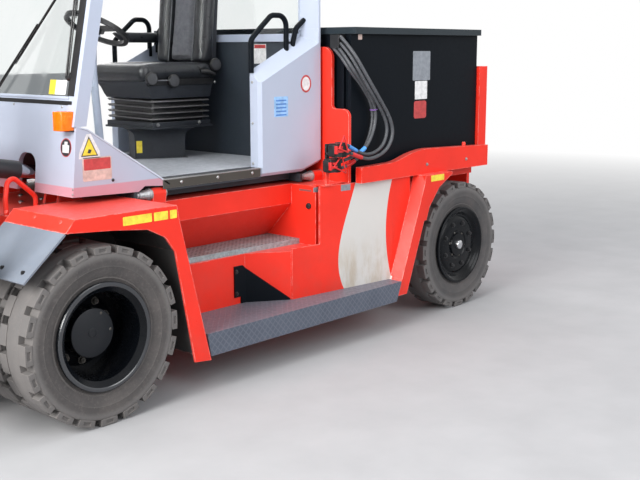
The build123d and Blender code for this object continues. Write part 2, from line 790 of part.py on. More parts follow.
# Battery with its lid and the gates that keep it in
hinge_x = battery_rear_x - hinge_offset
hinge_z = battery_top_z + running_gap
with BuildPart() as battery_box:
    with Locations((at_axle((battery_front_x + battery_rear_x) / 2), 0, (deck_z + battery_top_z) / 2)):
        Box(battery_front_x - battery_rear_x, 2 * battery_half, battery_top_z - deck_z)
    for inner, outer, top in battery_bars:
        for s in (1, -1):
            with Locations((at_axle(battery_front_x + battery_bar_thickness / 2), s * (inner + outer) / 2,
                            (deck_z + top) / 2)):
                Box(battery_bar_thickness, outer - inner, top - deck_z)
    for y in (-515.0, 685.0):
        with Locations((at_axle(hinge_x), y, hinge_z)):
            Cylinder(hinge_radius, 60, rotation=(90, 0, 0))
        with Locations((at_axle(battery_rear_x - hinge_offset / 2), y, hinge_z - hinge_radius / 2 - running_gap)):
            Box(hinge_offset, 60, hinge_radius)
keep("battery_box", battery_box.part)

lid_length = battery_front_x - battery_rear_x + lid_overhang / 2
lid_middle_x = (battery_front_x + battery_rear_x) / 2 + lid_overhang / 4
with BuildPart() as battery_lid:
    with Locations((at_axle(lid_middle_x), 0, battery_top_z + lid_thickness / 2 + running_gap)):
        Box(lid_length, 2 * (battery_half + lid_overhang), lid_thickness)
        with Locations((0, 0, -lid_plate)):
            Box(lid_length - 2 * lid_lip, 2 * (battery_half + lid_overhang - lid_lip), lid_thickness,
                mode=Mode.SUBTRACT)
    for y in (-600.0, 600.0):
        with Locations((at_axle(hinge_x), y, hinge_z)):
            Cylinder(hinge_radius, 80, rotation=(90, 0, 0))
        with Locations((at_axle(battery_rear_x - hinge_offset / 2 + 1), y, hinge_z + hinge_radius / 2)):
            Box(hinge_offset + 2, 80, hinge_radius)
keep("battery_lid", battery_lid.part)

with BuildPart() as battery_gates:
    with BuildSketch(side_plane(gate_half)):
        with BuildLine():
            Polyline(*from_axle([(-2515, 1077), (gate_rear_x, 1055), (gate_rear_x, deck_z),
                                 (gate_front_x, deck_z), (gate_front_x, 1012), (-2144, 1018)]))
            Spline(*from_axle([(-2144, 1018), (-2300, 1050), (-2515, 1077)]),
                   tangents=[(-1, 0.04), (-1, 0.02)])
        make_face()
    extrude(amount=gate_thickness)
    mirror(about=Plane.XZ)
keep("battery_gates", battery_gates.part)

# Counterweight with the tow jaw
with BuildPart() as rear_slab:
    with Locations((at_axle((slab_front_x + slab_rear_x) / 2), 0, (deck_z + slab_top_z) / 2)):
        Box(slab_front_x - slab_rear_x, 2 * slab_half, slab_top_z - deck_z)
keep("rear_slab", rear_slab.part)

with BuildPart() as counterweight:
    with BuildSketch(Plane.XY.offset(weight_low_z)):
        Polygon(
            *from_axle([(weight_front_x, weight_half), (-tail_reach + 60, weight_half), (-tail_reach, weight_half - 80),
                        (-tail_reach, -weight_half + 80), (-tail_reach + 60, -weight_half), (weight_front_x, -weight_half)]),
            align=None,
        )
    extrude(amount=deck_z + 60 - weight_low_z)
    with Locations((at_axle((rear_deck_end_x + weight_front_x) / 2), 0, (weight_low_z + deck_z) / 2)):
        Box(rear_deck_end_x - weight_front_x, 2 * spine_half, deck_z - weight_low_z)
    with Locations((at_axle((slab_rear_x + weight_front_x) / 2), 0, deck_z + 30)):
        Box(slab_rear_x - weight_front_x, 2 * weight_half, 60)
    with Locations((at_axle(-tail_reach + 60), 0, tow_jaw_z)):
        Box(120.2, 300, tow_jaw_gap, mode=Mode.SUBTRACT)
    with Locations((at_axle(-tail_reach + 55), 0, tow_jaw_z)):
        Cylinder(tow_pin_radius, 120, align=(Align.CENTER, Align.CENTER, Align.MAX), mode=Mode.SUBTRACT)
        Cylinder(tow_pin_radius, 600, align=(Align.CENTER, Align.CENTER, Align.MIN), mode=Mode.SUBTRACT)
keep("counterweight", counterweight.part)

# Bulkhead plate behind the cab, stepped at each side
with BuildPart() as bulkhead:
    with BuildSketch(cross_plane(bulkhead_x)):
        for s in (1, -1):
            with BuildLine():
                FilletPolyline((0, deck_z), (s * bulkhead_half, deck_z), (s * bulkhead_half, bulkhead_shoulder_z),
                               (s * bulkhead_neck, bulkhead_shoulder_z), (s * bulkhead_neck, bulkhead_top_z),
                               (0, bulkhead_top_z), radius=[1.0, 45.0, 22.0, 65.0])
                Line((0, bulkhead_top_z), (0, deck_z))
            make_face()
    extrude(amount=bulkhead_thickness)
keep("bulkhead", bulkhead.part)

# Cab floor with its sub-frame and the sloping toe board
with BuildPart() as cab_floor:
    with BuildSketch(Plane.XY.offset(floor_top_z - floor_thickness)):
        Polygon(*from_axle([(toe_board_foot_x, -floor_half), (toe_board_foot_x, floor_half),
                            (cabinet_front_x, floor_half), (cabinet_front_x, cabinet_inner_half),
                            (rear_wall_back_x, cabinet_inner_half), (rear_wall_back_x, -cabinet_inner_half),
                            (cabinet_front_x, -cabinet_inner_half), (cabinet_front_x, -floor_half)]),
                align=None)
    extrude(amount=floor_thickness)
    with BuildSketch(side_plane(floor_half)):
        Polygon(*from_axle([(toe_board_foot_x, floor_top_z), (-150, 1300), (-150, 1324),
                            (toe_board_foot_x - 20, floor_top_z + 12), (toe_board_foot_x - 20, floor_top_z)]),
                align=None)
    extrude(amount=2 * floor_half)
    for half in (cab_half, -floor_half):
        with BuildSketch(side_plane(half)):
            Polygon(*from_axle([(-652, subframe_top_z), (-652, 1000), (-676, 1000), (-672, 1003),
                                (-624, floor_top_z), (cabinet_front_x, floor_top_z),
                                (cabinet_front_x, subframe_top_z)]), align=None)
        extrude(amount=cab_wall)
    for s in (1, -1):
        for front, rear, top in ((rail_front_x, cabinet_front_x, floor_top_z - floor_thickness),
                                 (rail_front_x, rear_wall_back_x, subframe_top_z)):
            with Locations((at_axle((front + rear) / 2), s * rail_y, (subframe_low_z + top) / 2)):
                Box(front - rear, 60, top - subframe_low_z)
        for tip, _, _, _, ring_z in cab_pivots:
            with Locations((at_axle(tip + 8.5), s * (rail_y + pivot_y + pivot_radius) / 2, ring_z)):
                Box(17, pivot_y + pivot_radius - rail_y, 44)
keep("cab_floor", cab_floor.part)

# Rubber cones between the sub-frame's lugs and the rings on the chassis
with BuildPart() as cab_mounts:
    for s in (1, -1):
        for tip, base, ring_front_x, _, ring_z in cab_pivots:
            with BuildSketch(cross_plane(tip)):
                with Locations((s * pivot_y, ring_z)):
                    Circle(pivot_core)
            with BuildSketch(cross_plane(base)):
                with Locations((s * pivot_y, ring_z)):
                    Circle(pivot_radius - 3)
            loft(ruled=True)
            with BuildSketch(cross_plane(ring_front_x)):
                with Locations((s * pivot_y, ring_z)):
                    Circle(pivot_radius)
            extrude(amount=base - ring_front_x)
keep("cab_mounts", cab_mounts.part)

# Cab front: the bent lower panel with its two side cheeks
front_line = [(cab_front_x, cab_low_z), (cab_front_x - 5, cab_chamfer_z), (cab_waist_x, cab_waist_z), (cab_waist_x - 6, glass_low_z)]
with BuildPart() as cab_front:
    with BuildSketch(side_plane(cab_half)):
        Polygon(*from_axle(front_line + [(x - cab_wall, z) for x, z in reversed(front_line)]), align=None)
    extrude(amount=2 * cab_half)
    for half in (1, -1):
        with Locations((at_axle(cab_waist_x), half * (cab_half - pillar_width / 2), pillar_foot_z + 100)):
            Box(120, pillar_width, 200, mode=Mode.SUBTRACT)
    for half in (cab_half, -cab_half + cab_wall):
        with BuildSketch(side_plane(half)):
            Polygon(*from_axle([(cab_front_x - 5, cab_low_z), (-474, 992), (-514, 1017), (-669, 1004), (-606, 1048),
                                (-187, 1309), (cab_waist_x - 8, 1322), (cab_front_x - 20, cab_chamfer_z)]),
                    align=None)
        extrude(amount=cab_wall)
    for half in (1, -1):
        with BuildSketch(cross_plane(cab_front_x - 100)) as notch:
            Polygon((half * notch_inner, cab_low_z - 10), (half * notch_inner, notch_top_z),
                    (half * notch_outer, notch_top_z), (half * notch_outer, cab_low_z - 10), align=None)
            fillet(notch.vertices().sort_by(Axis.Y)[-2:], notch_corner)
        extrude(amount=200, mode=Mode.SUBTRACT)
keep("cab_front", cab_front.part)

# Cab guard: front pillars, roof frame with bars and rear pillars
def screen_x(z):
    """Front face of the cab at a height above the waist."""
    return cab_waist_x - 6 - (z - glass_low_z) * screen_slope


def cabinet_section(x, inset, low_z):
    """Outline across the left cabinet, whose top falls towards the outside."""
    top = cabinet_top_z + (cabinet_front_x - x) * cabinet_top_rise
    outer = cab_half - inset
    fall = cabinet_top_fall * (outer - cabinet_inner_half) / (cab_half - cabinet_inner_half)
    return [(cabinet_inner_half, low_z), (outer - cabinet_bevel, low_z), (outer, low_z + cabinet_bevel),
            (outer, top - fall), (cabinet_inner_half, top)]


roof_front_x = screen_x(cab_roof_z)
roof_rear_x = cab_rear_x + 20
with BuildPart() as cab_guard:
    for half in (cab_half, -cab_half + pillar_width):
        with BuildSketch(side_plane(half)):
            Polygon(*from_axle([(screen_x(pillar_foot_z), pillar_foot_z), (screen_x(cab_roof_z), cab_roof_z),
                                (screen_x(cab_roof_z) - pillar_width, cab_roof_z), (screen_x(pillar_foot_z) - pillar_width, pillar_foot_z)]),
                    align=None)
        extrude(amount=pillar_width)
    for s in (1, -1):
        with BuildSketch(Plane.XY.offset(rear_wall_top_z)):
            Polygon(*[(at_axle(x), s * y) for x, y in [
                (-1735, rear_pillar_inner), (-1735, 600), (-1812, 600), (-1812, rear_pillar_inner)]], align=None)
        extrude(amount=cab_roof_z - rear_wall_top_z)
        with BuildSketch(Plane.XY.offset(rear_pillar_foot_z)):
            Polygon(*[(at_axle(x), s * y) for x, y in [
                (-1728, 600), (-1728, cabinet_inner_half), (-1800, cab_half), (cab_rear_x, cab_half),
                (cab_rear_x, 600)]], align=None)
        extrude(amount=cab_roof_z - rear_pillar_foot_z)
    with Locations((at_axle((-1700 - 1812) / 2), 0, (rear_wall_top_z + ledge_top_z) / 2)):
        Box(112, 1200, ledge_top_z - rear_wall_top_z)
    with BuildSketch(Plane.XY.offset(cab_roof_z)):
        with Locations((at_axle((roof_front_x + roof_rear_x) / 2 - 20), 0)):
            Rectangle(roof_front_x - roof_rear_x, 2 * cab_half)
        with Locations((at_axle((roof_front_x + roof_rear_x) / 2 - 20), 0)):
            Rectangle(roof_front_x - roof_rear_x - 160, 2 * cab_half - 160, mode=Mode.SUBTRACT)
    extrude(amount=roof_thickness)
    for index in range(9):
        x = roof_rear_x + 140 + index * (roof_front_x - roof_rear_x - 280) / 8
        with Locations((at_axle(x - 20), 0, cab_roof_z + roof_thickness - 25)):
            Box(30, 2 * cab_half - 150, 50)
keep("cab_guard", cab_guard.part)

# Windows
with BuildPart() as windscreen:
    with BuildSketch(side_plane(cab_half - pillar_width)):
        Polygon(*from_axle([(screen_x(glass_low_z) - 10, glass_low_z + 0.5), (screen_x(cab_roof_z) - 10, cab_roof_z - 0.5),
                            (screen_x(cab_roof_z) - 18, cab_roof_z - 0.5), (screen_x(glass_low_z) - 18, glass_low_z + 0.5)]),
                align=None)
    extrude(amount=2 * (cab_half - pillar_width))
keep("windscreen", windscreen.part)

# Cab rear wall and the cabinets at both sides
with BuildPart() as cab_rear_wall:
    with Locations((at_axle((rear_wall_x + rear_wall_back_x) / 2), 0, (floor_top_z + rear_wall_top_z) / 2)):
        Box(rear_wall_x - rear_wall_back_x, 2 * cabinet_inner_half, rear_wall_top_z - floor_top_z)
keep("cab_rear_wall", cab_rear_wall.part)

with BuildPart() as rear_window:
    with Locations((at_axle(cab_rear_x + 25), 0, (ledge_top_z + cab_roof_z) / 2)):
        Box(8, 2 * rear_pillar_inner, cab_roof_z - ledge_top_z)
keep("rear_window", rear_window.part)

with BuildPart() as side_cabinets:
    for ahead, behind in zip(cabinet_sections[:-1], cabinet_sections[1:]):
        for x, inset, low_z in (ahead, behind):
            with BuildSketch(cross_plane(x)):
                Polygon(*cabinet_section(x, inset, low_z), align=None)
        loft(ruled=True)
    with BuildSketch(Plane.XY.offset(1690)):
        Polygon(*from_axle([(-1728, cabinet_inner_half), (-1800, cab_half), (cab_rear_x, cab_half),
                            (cab_rear_x, cabinet_inner_half)]), align=None)
    extrude(amount=rear_pillar_foot_z - 1690)
    mirror(about=Plane.XZ)
keep("side_cabinets", side_cabinets.part)

# Handrails that stand on the cabinets
with BuildPart() as handrails:
    for points, radii in handrails_route:
        with BuildLine() as rail_line:
            FilletPolyline(*[(at_axle(x), handrail_y, z) for x, z in points], radius=radii)
        with BuildSketch(Plane(origin=rail_line.line @ 0, z_dir=rail_line.line % 0)):
            Circle(handrail_radius)
        sweep()
    mirror(about=Plane.XZ)
    add(side_cabinets.part, mode=Mode.SUBTRACT)
    add(cab_guard.part, mode=Mode.SUBTRACT)
keep("handrails", handrails.part)

# Amber indicators on the front panel
depth, width, height = indicator_size
with BuildPart() as indicators:
    with BuildSketch(Plane.XY.offset(indicator_low_z)):
        Polygon(*[(at_axle(x), y) for x, y in [
            (indicator_front_x - depth, indicator_inner), (indicator_front_x, indicator_inner),
            (indicator_front_x, indicator_inner + width), (indicator_front_x - depth, indicator_inner + width)]],
                align=None)
    extrude(amount=height)
    chamfer(indicators.part.faces().sort_by(Axis.X)[-1].edges(), 8)
    mirror(about=Plane.XZ)
    add(cab_front.part, mode=Mode.SUBTRACT)
    add(cab_guard.part, mode=Mode.SUBTRACT)
    with Locations((at_axle(indicator_front_x - depth - 20), 0, indicator_low_z + 50)):
        Box(80, 2 * cab_half, 200, mode=Mode.SUBTRACT)
keep("indicators", indicators.part)

# Seat: turned pedestal, bellows, pan, cushion and back
with BuildPart() as seat_base:
    with BuildSketch(Plane.XY.offset(floor_top_z)):
        with Locations(Location((at_axle(pedestal_x), seat_y, 0), (0, 0, pedestal_turn))):
            Rectangle(*pedestal_size)
    extrude(amount=pedestal_top_z - floor_top_z)
    middle_x = (bellows_front_x + bellows_rear_x) / 2
    length = bellows_front_x - bellows_rear_x
    with Locations((at_axle(middle_x), seat_y, (pedestal_top_z + suspension_low_z) / 2)):
        Box(length, 2 * bellows_half, suspension_low_z - pedestal_top_z)
    with Locations((at_axle(middle_x), seat_y, (suspension_low_z + seat_low_z) / 2)):
        Box(length - 40, 2 * bellows_half - 40, seat_low_z - suspension_low_z)
    pitch = (bellows_top_z - suspension_low_z - 30) / bellows_ribs
    for index in range(bellows_ribs):
        with Locations((at_axle(middle_x), seat_y, suspension_low_z + 30 + (index + 0.5) * pitch)):
            Box(length, 2 * bellows_half, pitch * 0.55)
    with Locations((at_axle((seat_front_x + seat_rear_x) / 2), seat_y, (bellows_top_z + seat_low_z) / 2)):
        Box(seat_front_x - seat_rear_x - 60, 2 * seat_half - 20, seat_low_z - bellows_top_z)
keep("seat_base", seat_base.part)

with BuildPart() as seat_cushion:
    with Locations((at_axle((seat_front_x + seat_rear_x) / 2), seat_y, (seat_low_z + seat_top_z) / 2)):
        Box(seat_front_x - seat_rear_x, 2 * seat_half, seat_top_z - seat_low_z - 0.6)
keep("seat_cushion", seat_cushion.part)

with BuildPart() as seat_back:
    with BuildSketch(side_plane(seat_y + 220)):
        Polygon(*from_axle([(-1535, seat_top_z + 0.5), (-1600, seat_back_top_z), (-1710, seat_back_top_z),
                            (-1645, seat_top_z + 0.5)]), align=None)
    extrude(amount=440)
    with Locations((at_axle((armrest_front_x + armrest_rear_x) / 2), seat_y - 290, (armrest_low_z + armrest_top_z) / 2)):
        Box(armrest_front_x - armrest_rear_x, 40, armrest_top_z - armrest_low_z)
    with Locations((at_axle(armrest_rear_x + 20), seat_y - 250, (armrest_low_z + armrest_top_z) / 2)):
        Box(40, 100, 40)
keep("seat_back", seat_back.part)

# Steering column and hand wheel
wheel_tilt = math.radians(28.0)
hand_wheel_plane = Plane(origin=(at_axle(hand_wheel_x), column_y, hand_wheel_z), x_dir=(0, 1, 0),
                         z_dir=(-math.sin(wheel_tilt), 0, math.cos(wheel_tilt)))
with BuildPart() as steering_column:
    with BuildSketch(side_plane(column_y + 60)):
        Polygon(*from_axle([(-850, floor_top_z), (-960, floor_top_z), (-958, 1720), (-870, 1760)]), align=None)
    extrude(amount=120)
    with BuildSketch(hand_wheel_plane.offset(-running_gap)):
        Circle(32)
    extrude(amount=-60)
keep("steering_column", steering_column.part)

with BuildPart() as hand_wheel:
    with BuildSketch(hand_wheel_plane):
        Circle(hand_wheel_radius)
        Circle(hand_wheel_radius - 25, mode=Mode.SUBTRACT)
        Rectangle(2 * hand_wheel_radius - 40, 26)
        Circle(45)
    extrude(amount=24)
keep("hand_wheel", hand_wheel.part)

# Mast: outer channels with their ties, pivots and lift barrels
pivot_plate_half = channel_half + 12.0
with BuildPart() as mast_outer:
    for s in (1, -1):
        with BuildSketch(Plane.XY.offset(mast_low_z)):
            Polygon(
                *[(at_axle(mast_rear_x + x), s * y) for x, y in [
                    (0, channel_half), (channel_depth, channel_half), (channel_depth, channel_half - channel_flange),
                    (channel_depth - channel_plate, channel_half - channel_flange),
                    (channel_depth - channel_plate, channel_half - channel_plate),
                    (channel_plate, channel_half - channel_plate), (channel_plate, channel_half - channel_flange),
                    (0, channel_half - channel_flange)]],
                align=None,
            )
    extrude(amount=mast_top_z - mast_low_z)
    for low, high in ((170.0, 330.0), (1130.0, 1290.0), (2580.0, 2740.0)):
        with BuildSketch(Plane.XY.offset(low)):
            Polygon(*[(at_axle(mast_rear_x + x), y) for x, y in [
                (-45, -380), (-45, 380), (0, channel_half - channel_flange + 5), (8, channel_half - channel_flange + 5),
                (8, -channel_half + channel_flange - 5), (0, -channel_half + channel_flange - 5)]], align=None)
        extrude(amount=high - low)
    for s in (1, -1):
        with BuildSketch(side_plane(s * channel_half + (12 if s > 0 else 0))):
            with Locations((at_axle(mast_pivot_x), mast_pivot_z)):
                Circle(75)
            with Locations((at_axle(mast_rear_x + 60), mast_pivot_z)):
                Rectangle(120, 150)
        extrude(amount=12)
        with Locations((at_axle(mast_pivot_x), s * (channel_half + 10), mast_pivot_z)):
            Cylinder(75, 20 - 2 * running_gap, rotation=(90, 0, 0))
        with Locations((at_axle(mast_pivot_x), s * (channel_half + 35), mast_pivot_z)):
            Cylinder(pivot_pin_radius, 70, rotation=(90, 0, 0))
        for y in (tilt_y - tilt_ear_gap / 2 - 20, tilt_y + tilt_ear_gap / 2):
            with BuildSketch(side_plane(s * y + (20 if s > 0 else 0))):
                with Locations((at_axle(tilt_mast_x), tilt_mast_z)):
                    Circle(34)
                with Locations((at_axle((tilt_mast_x + mast_rear_x - 30) / 2), tilt_mast_z)):
                    Rectangle(mast_rear_x - 30 - tilt_mast_x, 68)
            extrude(amount=20)
        with Locations((at_axle(tilt_mast_x), s * tilt_y, tilt_mast_z)):
            Cylinder(tilt_pin_radius, tilt_ear_gap + 50, rotation=(90, 0, 0))
        with BuildSketch(Plane.XY.offset(mast_low_z)):
            Polygon(*[(at_axle(x), s * y) for x, y in [
                (cylinder_x - barrel_radius, cylinder_y - barrel_radius), (mast_rear_x, cylinder_y - barrel_radius),
                (mast_rear_x, channel_half), (cylinder_x - barrel_radius, channel_half)]], align=None)
        extrude(amount=20)
keep("mast_outer", mast_outer.part)

with BuildPart() as lift_barrels:
    for s in (1, -1):
        with Locations((at_axle(cylinder_x), s * cylinder_y, mast_low_z + 20)):
            Cylinder(barrel_radius, 2080, align=(Align.CENTER, Align.CENTER, Align.MIN))
            Cylinder(rod_radius + running_gap, 2200, align=(Align.CENTER, Align.CENTER, Align.MIN), mode=Mode.SUBTRACT)
keep("lift_barrels", lift_barrels.part)

# Inner mast with its head, sheaves and the lift rods
inner_rear = mast_rear_x + channel_plate + inner_gap
inner_front = mast_rear_x + channel_depth - channel_plate - inner_gap
with BuildPart() as mast_inner:
    for s in (1, -1):
        with BuildSketch(Plane.XY.offset(inner_low_z)):
            Polygon(
                *[(at_axle(x), s * y) for x, y in [
                    (inner_rear, inner_half), (inner_rear + 18, inner_half), (inner_rear + 18, inner_half - 24),
                    (inner_front - 18, inner_half - 24), (inner_front - 18, inner_half), (inner_front, inner_half),
                    (inner_front, inner_half - 66), (inner_front - 18, inner_half - 66),
                    (inner_front - 18, inner_half - 42), (inner_rear + 18, inner_half - 42),
                    (inner_rear + 18, inner_half - 66), (inner_rear, inner_half - 66)]],
                align=None,
            )
    extrude(amount=head_z - inner_low_z)
    for low, high in ((160.0, 240.0), (2610.0, 2740.0)):
        with Locations((at_axle(sheave_x - 10), 0, (low + high) / 2)):
            Box(40, 2 * (inner_half - 20), high - low)
    with BuildSketch(Plane.XY.offset(head_z)):
        Polygon(*from_axle([(cylinder_x - 45, -channel_half), (cylinder_x - 45, channel_half),
                            (inner_front, channel_half), (inner_front, -channel_half)]), align=None)
        for s in (1, -1):
            with Locations((at_axle(inner_front), s * sheave_y)):
                Rectangle(2 * (inner_front - sheave_x + sheave_radius + 18), sheave_width + 14, mode=Mode.SUBTRACT)
    extrude(amount=head_thickness)
    for s in (1, -1):
        for y in (s * sheave_y - sheave_width / 2 - 22, s * sheave_y + sheave_width / 2 + 7):
            with Locations((at_axle(sheave_x), y + 7.5, head_z + head_thickness + 35)):
                Box(90, 15, 90)
keep("mast_inner", mast_inner.part)

with BuildPart() as lift_rods:
    for s in (1, -1):
        with Locations((at_axle(cylinder_x), s * cylinder_y, rod_low_z)):
            Cylinder(rod_radius, head_z - rod_low_z, align=(Align.CENTER, Align.CENTER, Align.MIN))
keep("lift_rods", lift_rods.part)

# Carriage with its roller plates and load backrest
carriage_rear_x = mast_rear_x + channel_depth + 8
chain_anchor_x = sheave_x + sheave_radius
with BuildPart() as carriage:
    for low in (carriage_low_z, carriage_high_z):
        with Locations((at_axle(carriage_rear_x + carriage_bar_depth / 2), 0, low + carriage_bar_height / 2)):
            Box(carriage_bar_depth, 2 * carriage_half, carriage_bar_height)
    for s in (1, -1):
        with Locations((at_axle(carriage_rear_x - 60), s * (carriage_plate_half - 22), 560)):
            Box(126, 44, 640)
        for z in (320.0, 800.0):
            with Locations((at_axle((inner_rear + inner_front) / 2), s * (carriage_plate_half + 14), z)):
                Cylinder(38, 36, rotation=(90, 0, 0))
        for y in (carriage_half - 30, 560.0, 190.0):
            with Locations((at_axle(carriage_rear_x + 20), s * y, (carriage_high_z + backrest_top_z) / 2 + 40)):
                Box(30, 40, backrest_top_z - carriage_high_z - 80)
    with Locations((at_axle(carriage_rear_x + 20), 0, backrest_top_z)):
        Box(30, 2 * carriage_half - 20, 60)
    for s in (1, -1):
        with Locations((at_axle(chain_anchor_x), s * sheave_y, carriage_high_z + carriage_bar_height - 40)):
            Box(60, chain_width + 16, 80)
keep("carriage", carriage.part)

with BuildPart() as forks:
    for y in (fork_y, -fork_y):
        with BuildSketch(side_plane(y + fork_width / 2)):
            Polygon(*from_axle([(fork_face_x - fork_thickness, fork_top_z - fork_thickness + 40),
                                (fork_face_x - fork_thickness + 30, fork_top_z - fork_thickness),
                                (fork_face_x + 250, fork_top_z - fork_thickness),
                                (fork_reach, fork_top_z - fork_tip_thickness), (fork_reach, fork_top_z),
                                (fork_face_x, fork_top_z), (fork_face_x, 880), (fork_face_x - fork_thickness, 880)]),
                    align=None)
        extrude(amount=fork_width)
keep("forks", forks.part)

# Lifting chains, one run up from the mast to each sheave and one down to the carriage
with BuildPart() as sheaves:
    for s in (1, -1):
        with Locations((at_axle(sheave_x), s * sheave_y, head_z + head_thickness + 40)):
            Cylinder(sheave_radius - chain_thickness / 2, sheave_width, rotation=(90, 0, 0))
            Cylinder(20, sheave_width + 14, rotation=(90, 0, 0))
keep("sheaves", sheaves.part)

chain_gap = 0.3
chain_rear_x = sheave_x - sheave_radius
chain_front_x = sheave_x + sheave_radius
chain_top_z = head_z + head_thickness + 40
anchor_low_z = 1130.0
anchor_high_z = 1290.0
with BuildPart() as chains_rear:
    for s in (1, -1):
        with Locations((at_axle(chain_rear_x), s * sheave_y, (anchor_high_z + chain_top_z) / 2)):
            Box(chain_thickness, chain_width, chain_top_z - anchor_high_z)
keep("chains_rear", chains_rear.part)

with BuildPart() as chains_front:
    for s in (1, -1):
        with Locations((at_axle(chain_front_x), s * sheave_y, (carriage_high_z + 100 + chain_top_z) / 2)):
            Box(chain_thickness, chain_width, chain_top_z - carriage_high_z - 100)
keep("chains_front", chains_front.part)

# Battery cables, from the block at the battery's front corner to the connectors
with BuildPart() as battery_connectors:
    with Locations((at_axle(-1855), 778.5, 1727.5)):
        Box(60, 67, 75)
    middle_x = (connector_front_x + connector_rear_x) / 2
    with Locations((at_axle(middle_x), 870, deck_z + 6)):
        Box(80, 180, 12)
    with Locations((at_axle(middle_x), 920, (deck_z + connector_low_z) / 2 + 5)):
        Box(50, 40, connector_low_z - deck_z)
    for low, high in ((connector_low_z, 1094.0), (1100.0, 1240.0)):
        with Locations((at_axle(middle_x), connector_y, (low + high) / 2)):
            Box(connector_front_x - connector_rear_x, connector_width, high - low)
    with Locations((at_axle(middle_x), connector_y, 1097)):
        Box(connector_front_x - connector_rear_x - 30, connector_width - 20, 20)
    for route in cable_routes:
        end_x, end_y, end_z = route[-1]
        with BuildSketch(cross_plane(connector_rear_x)):
            with Locations((end_y, end_z)):
                Circle(cable_diameter / 2 + 5)
        with BuildSketch(cross_plane(end_x)):
            with Locations((end_y, end_z)):
                Circle(cable_diameter / 2 + 2)
        loft(ruled=True)
keep("battery_connectors", battery_connectors.part)

for number, route in enumerate(cable_routes, start=1):
    points = [Vector(at_axle(x), y, z) for x, y, z in route]
    radii = []
    for before, corner, after in zip(points[:-2], points[1:-1], points[2:]):
        turn = math.radians((corner - before).get_angle(after - corner))
        radii.append(0.45 * min((corner - before).length, (after - corner).length) / math.tan(turn / 2))
    print("cable", number, "bend radii", [round(radius) for radius in radii])
    with BuildPart() as cable:
        with BuildLine() as cable_line:
            FilletPolyline(*points, radius=radii)
        with BuildSketch(Plane(origin=cable_line.line @ 0, z_dir=cable_line.line % 0)):
            Circle(cable_diameter / 2)
        sweep()
        add(battery_connectors.part, mode=Mode.SUBTRACT)
    print("cable", number, "length", round(sum(edge.length for edge in cable_line.edges())))
    keep(f"cable_{number}", cable.part)

# Tilt cylinders: barrel hinged on the mast, rod to the chassis


def tilt_frame(s):
    """Plane at the mast pin whose normal runs back along the cylinder."""
    direction = (-math.cos(tilt_angle), 0, -math.sin(tilt_angle))
    return Plane(origin=(at_axle(tilt_mast_x), s * tilt_y, tilt_mast_z), x_dir=(0, 1, 0), z_dir=direction)


for s, hand in ((1, "left"), (-1, "right")):
    with BuildPart() as tilt_barrel:
        with BuildSketch(tilt_frame(s).offset(16)):
            Circle(tilt_barrel_radius)
        extrude(amount=tilt_barrel_length - 16)
        with Locations((at_axle(tilt_mast_x), s * tilt_y, tilt_mast_z)):
            Cylinder(tilt_eye_radius, tilt_ear_gap - 6, rotation=(90, 0, 0))
        with BuildSketch(tilt_frame(s).offset(tilt_bore_start)):
            Circle(tilt_rod_radius + running_gap)
        extrude(amount=tilt_barrel_length, mode=Mode.SUBTRACT)
        with Locations((at_axle(tilt_mast_x), s * tilt_y, tilt_mast_z)):
            Cylinder(tilt_pin_radius + running_gap, 200, rotation=(90, 0, 0), mode=Mode.SUBTRACT)
    keep(f"tilt_barrel_{hand}", tilt_barrel.part)
    with BuildPart() as tilt_rod:
        with BuildSketch(tilt_frame(s).offset(tilt_rod_start)):
            Circle(tilt_rod_radius)
        extrude(amount=tilt_length - tilt_rod_start - 20)
        with Locations((at_axle(tilt_anchor_x), s * tilt_y, tilt_anchor_z)):
            Cylinder(tilt_eye_radius, tilt_ear_gap - 26, rotation=(90, 0, 0))
            Cylinder(tilt_pin_radius + tilt_eye_play, 200, rotation=(90, 0, 0), mode=Mode.SUBTRACT)
    keep(f"tilt_rod_{hand}", tilt_rod.part)

os.makedirs("parts", exist_ok=True)
for name, part in pieces.items():
    export_step(part, f"parts/{name}.step")
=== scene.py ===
"""Looks of the forklift truck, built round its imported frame. Metres; X forward, Y left, Z up."""
import json
import math
import random

import bmesh
import bpy
from mathutils import Matrix, Vector


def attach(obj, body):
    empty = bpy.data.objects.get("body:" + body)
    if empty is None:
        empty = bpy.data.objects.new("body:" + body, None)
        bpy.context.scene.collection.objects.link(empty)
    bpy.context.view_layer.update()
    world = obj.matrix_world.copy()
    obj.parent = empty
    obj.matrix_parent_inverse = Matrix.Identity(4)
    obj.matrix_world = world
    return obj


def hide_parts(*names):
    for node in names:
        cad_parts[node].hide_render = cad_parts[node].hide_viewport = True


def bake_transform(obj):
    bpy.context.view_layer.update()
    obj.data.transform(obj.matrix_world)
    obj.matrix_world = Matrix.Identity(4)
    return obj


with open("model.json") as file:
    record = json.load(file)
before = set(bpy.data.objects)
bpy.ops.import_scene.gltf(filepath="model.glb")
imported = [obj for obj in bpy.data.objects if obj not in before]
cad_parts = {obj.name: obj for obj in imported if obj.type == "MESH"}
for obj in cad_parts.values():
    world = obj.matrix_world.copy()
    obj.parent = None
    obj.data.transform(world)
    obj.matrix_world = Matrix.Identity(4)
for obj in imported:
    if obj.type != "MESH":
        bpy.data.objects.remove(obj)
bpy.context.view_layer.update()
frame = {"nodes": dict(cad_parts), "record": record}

nodes = frame["nodes"]
random.seed(7)

# Metres
FRONT_AXLE_X = 0.825
REAR_AXLE_X = -2.065
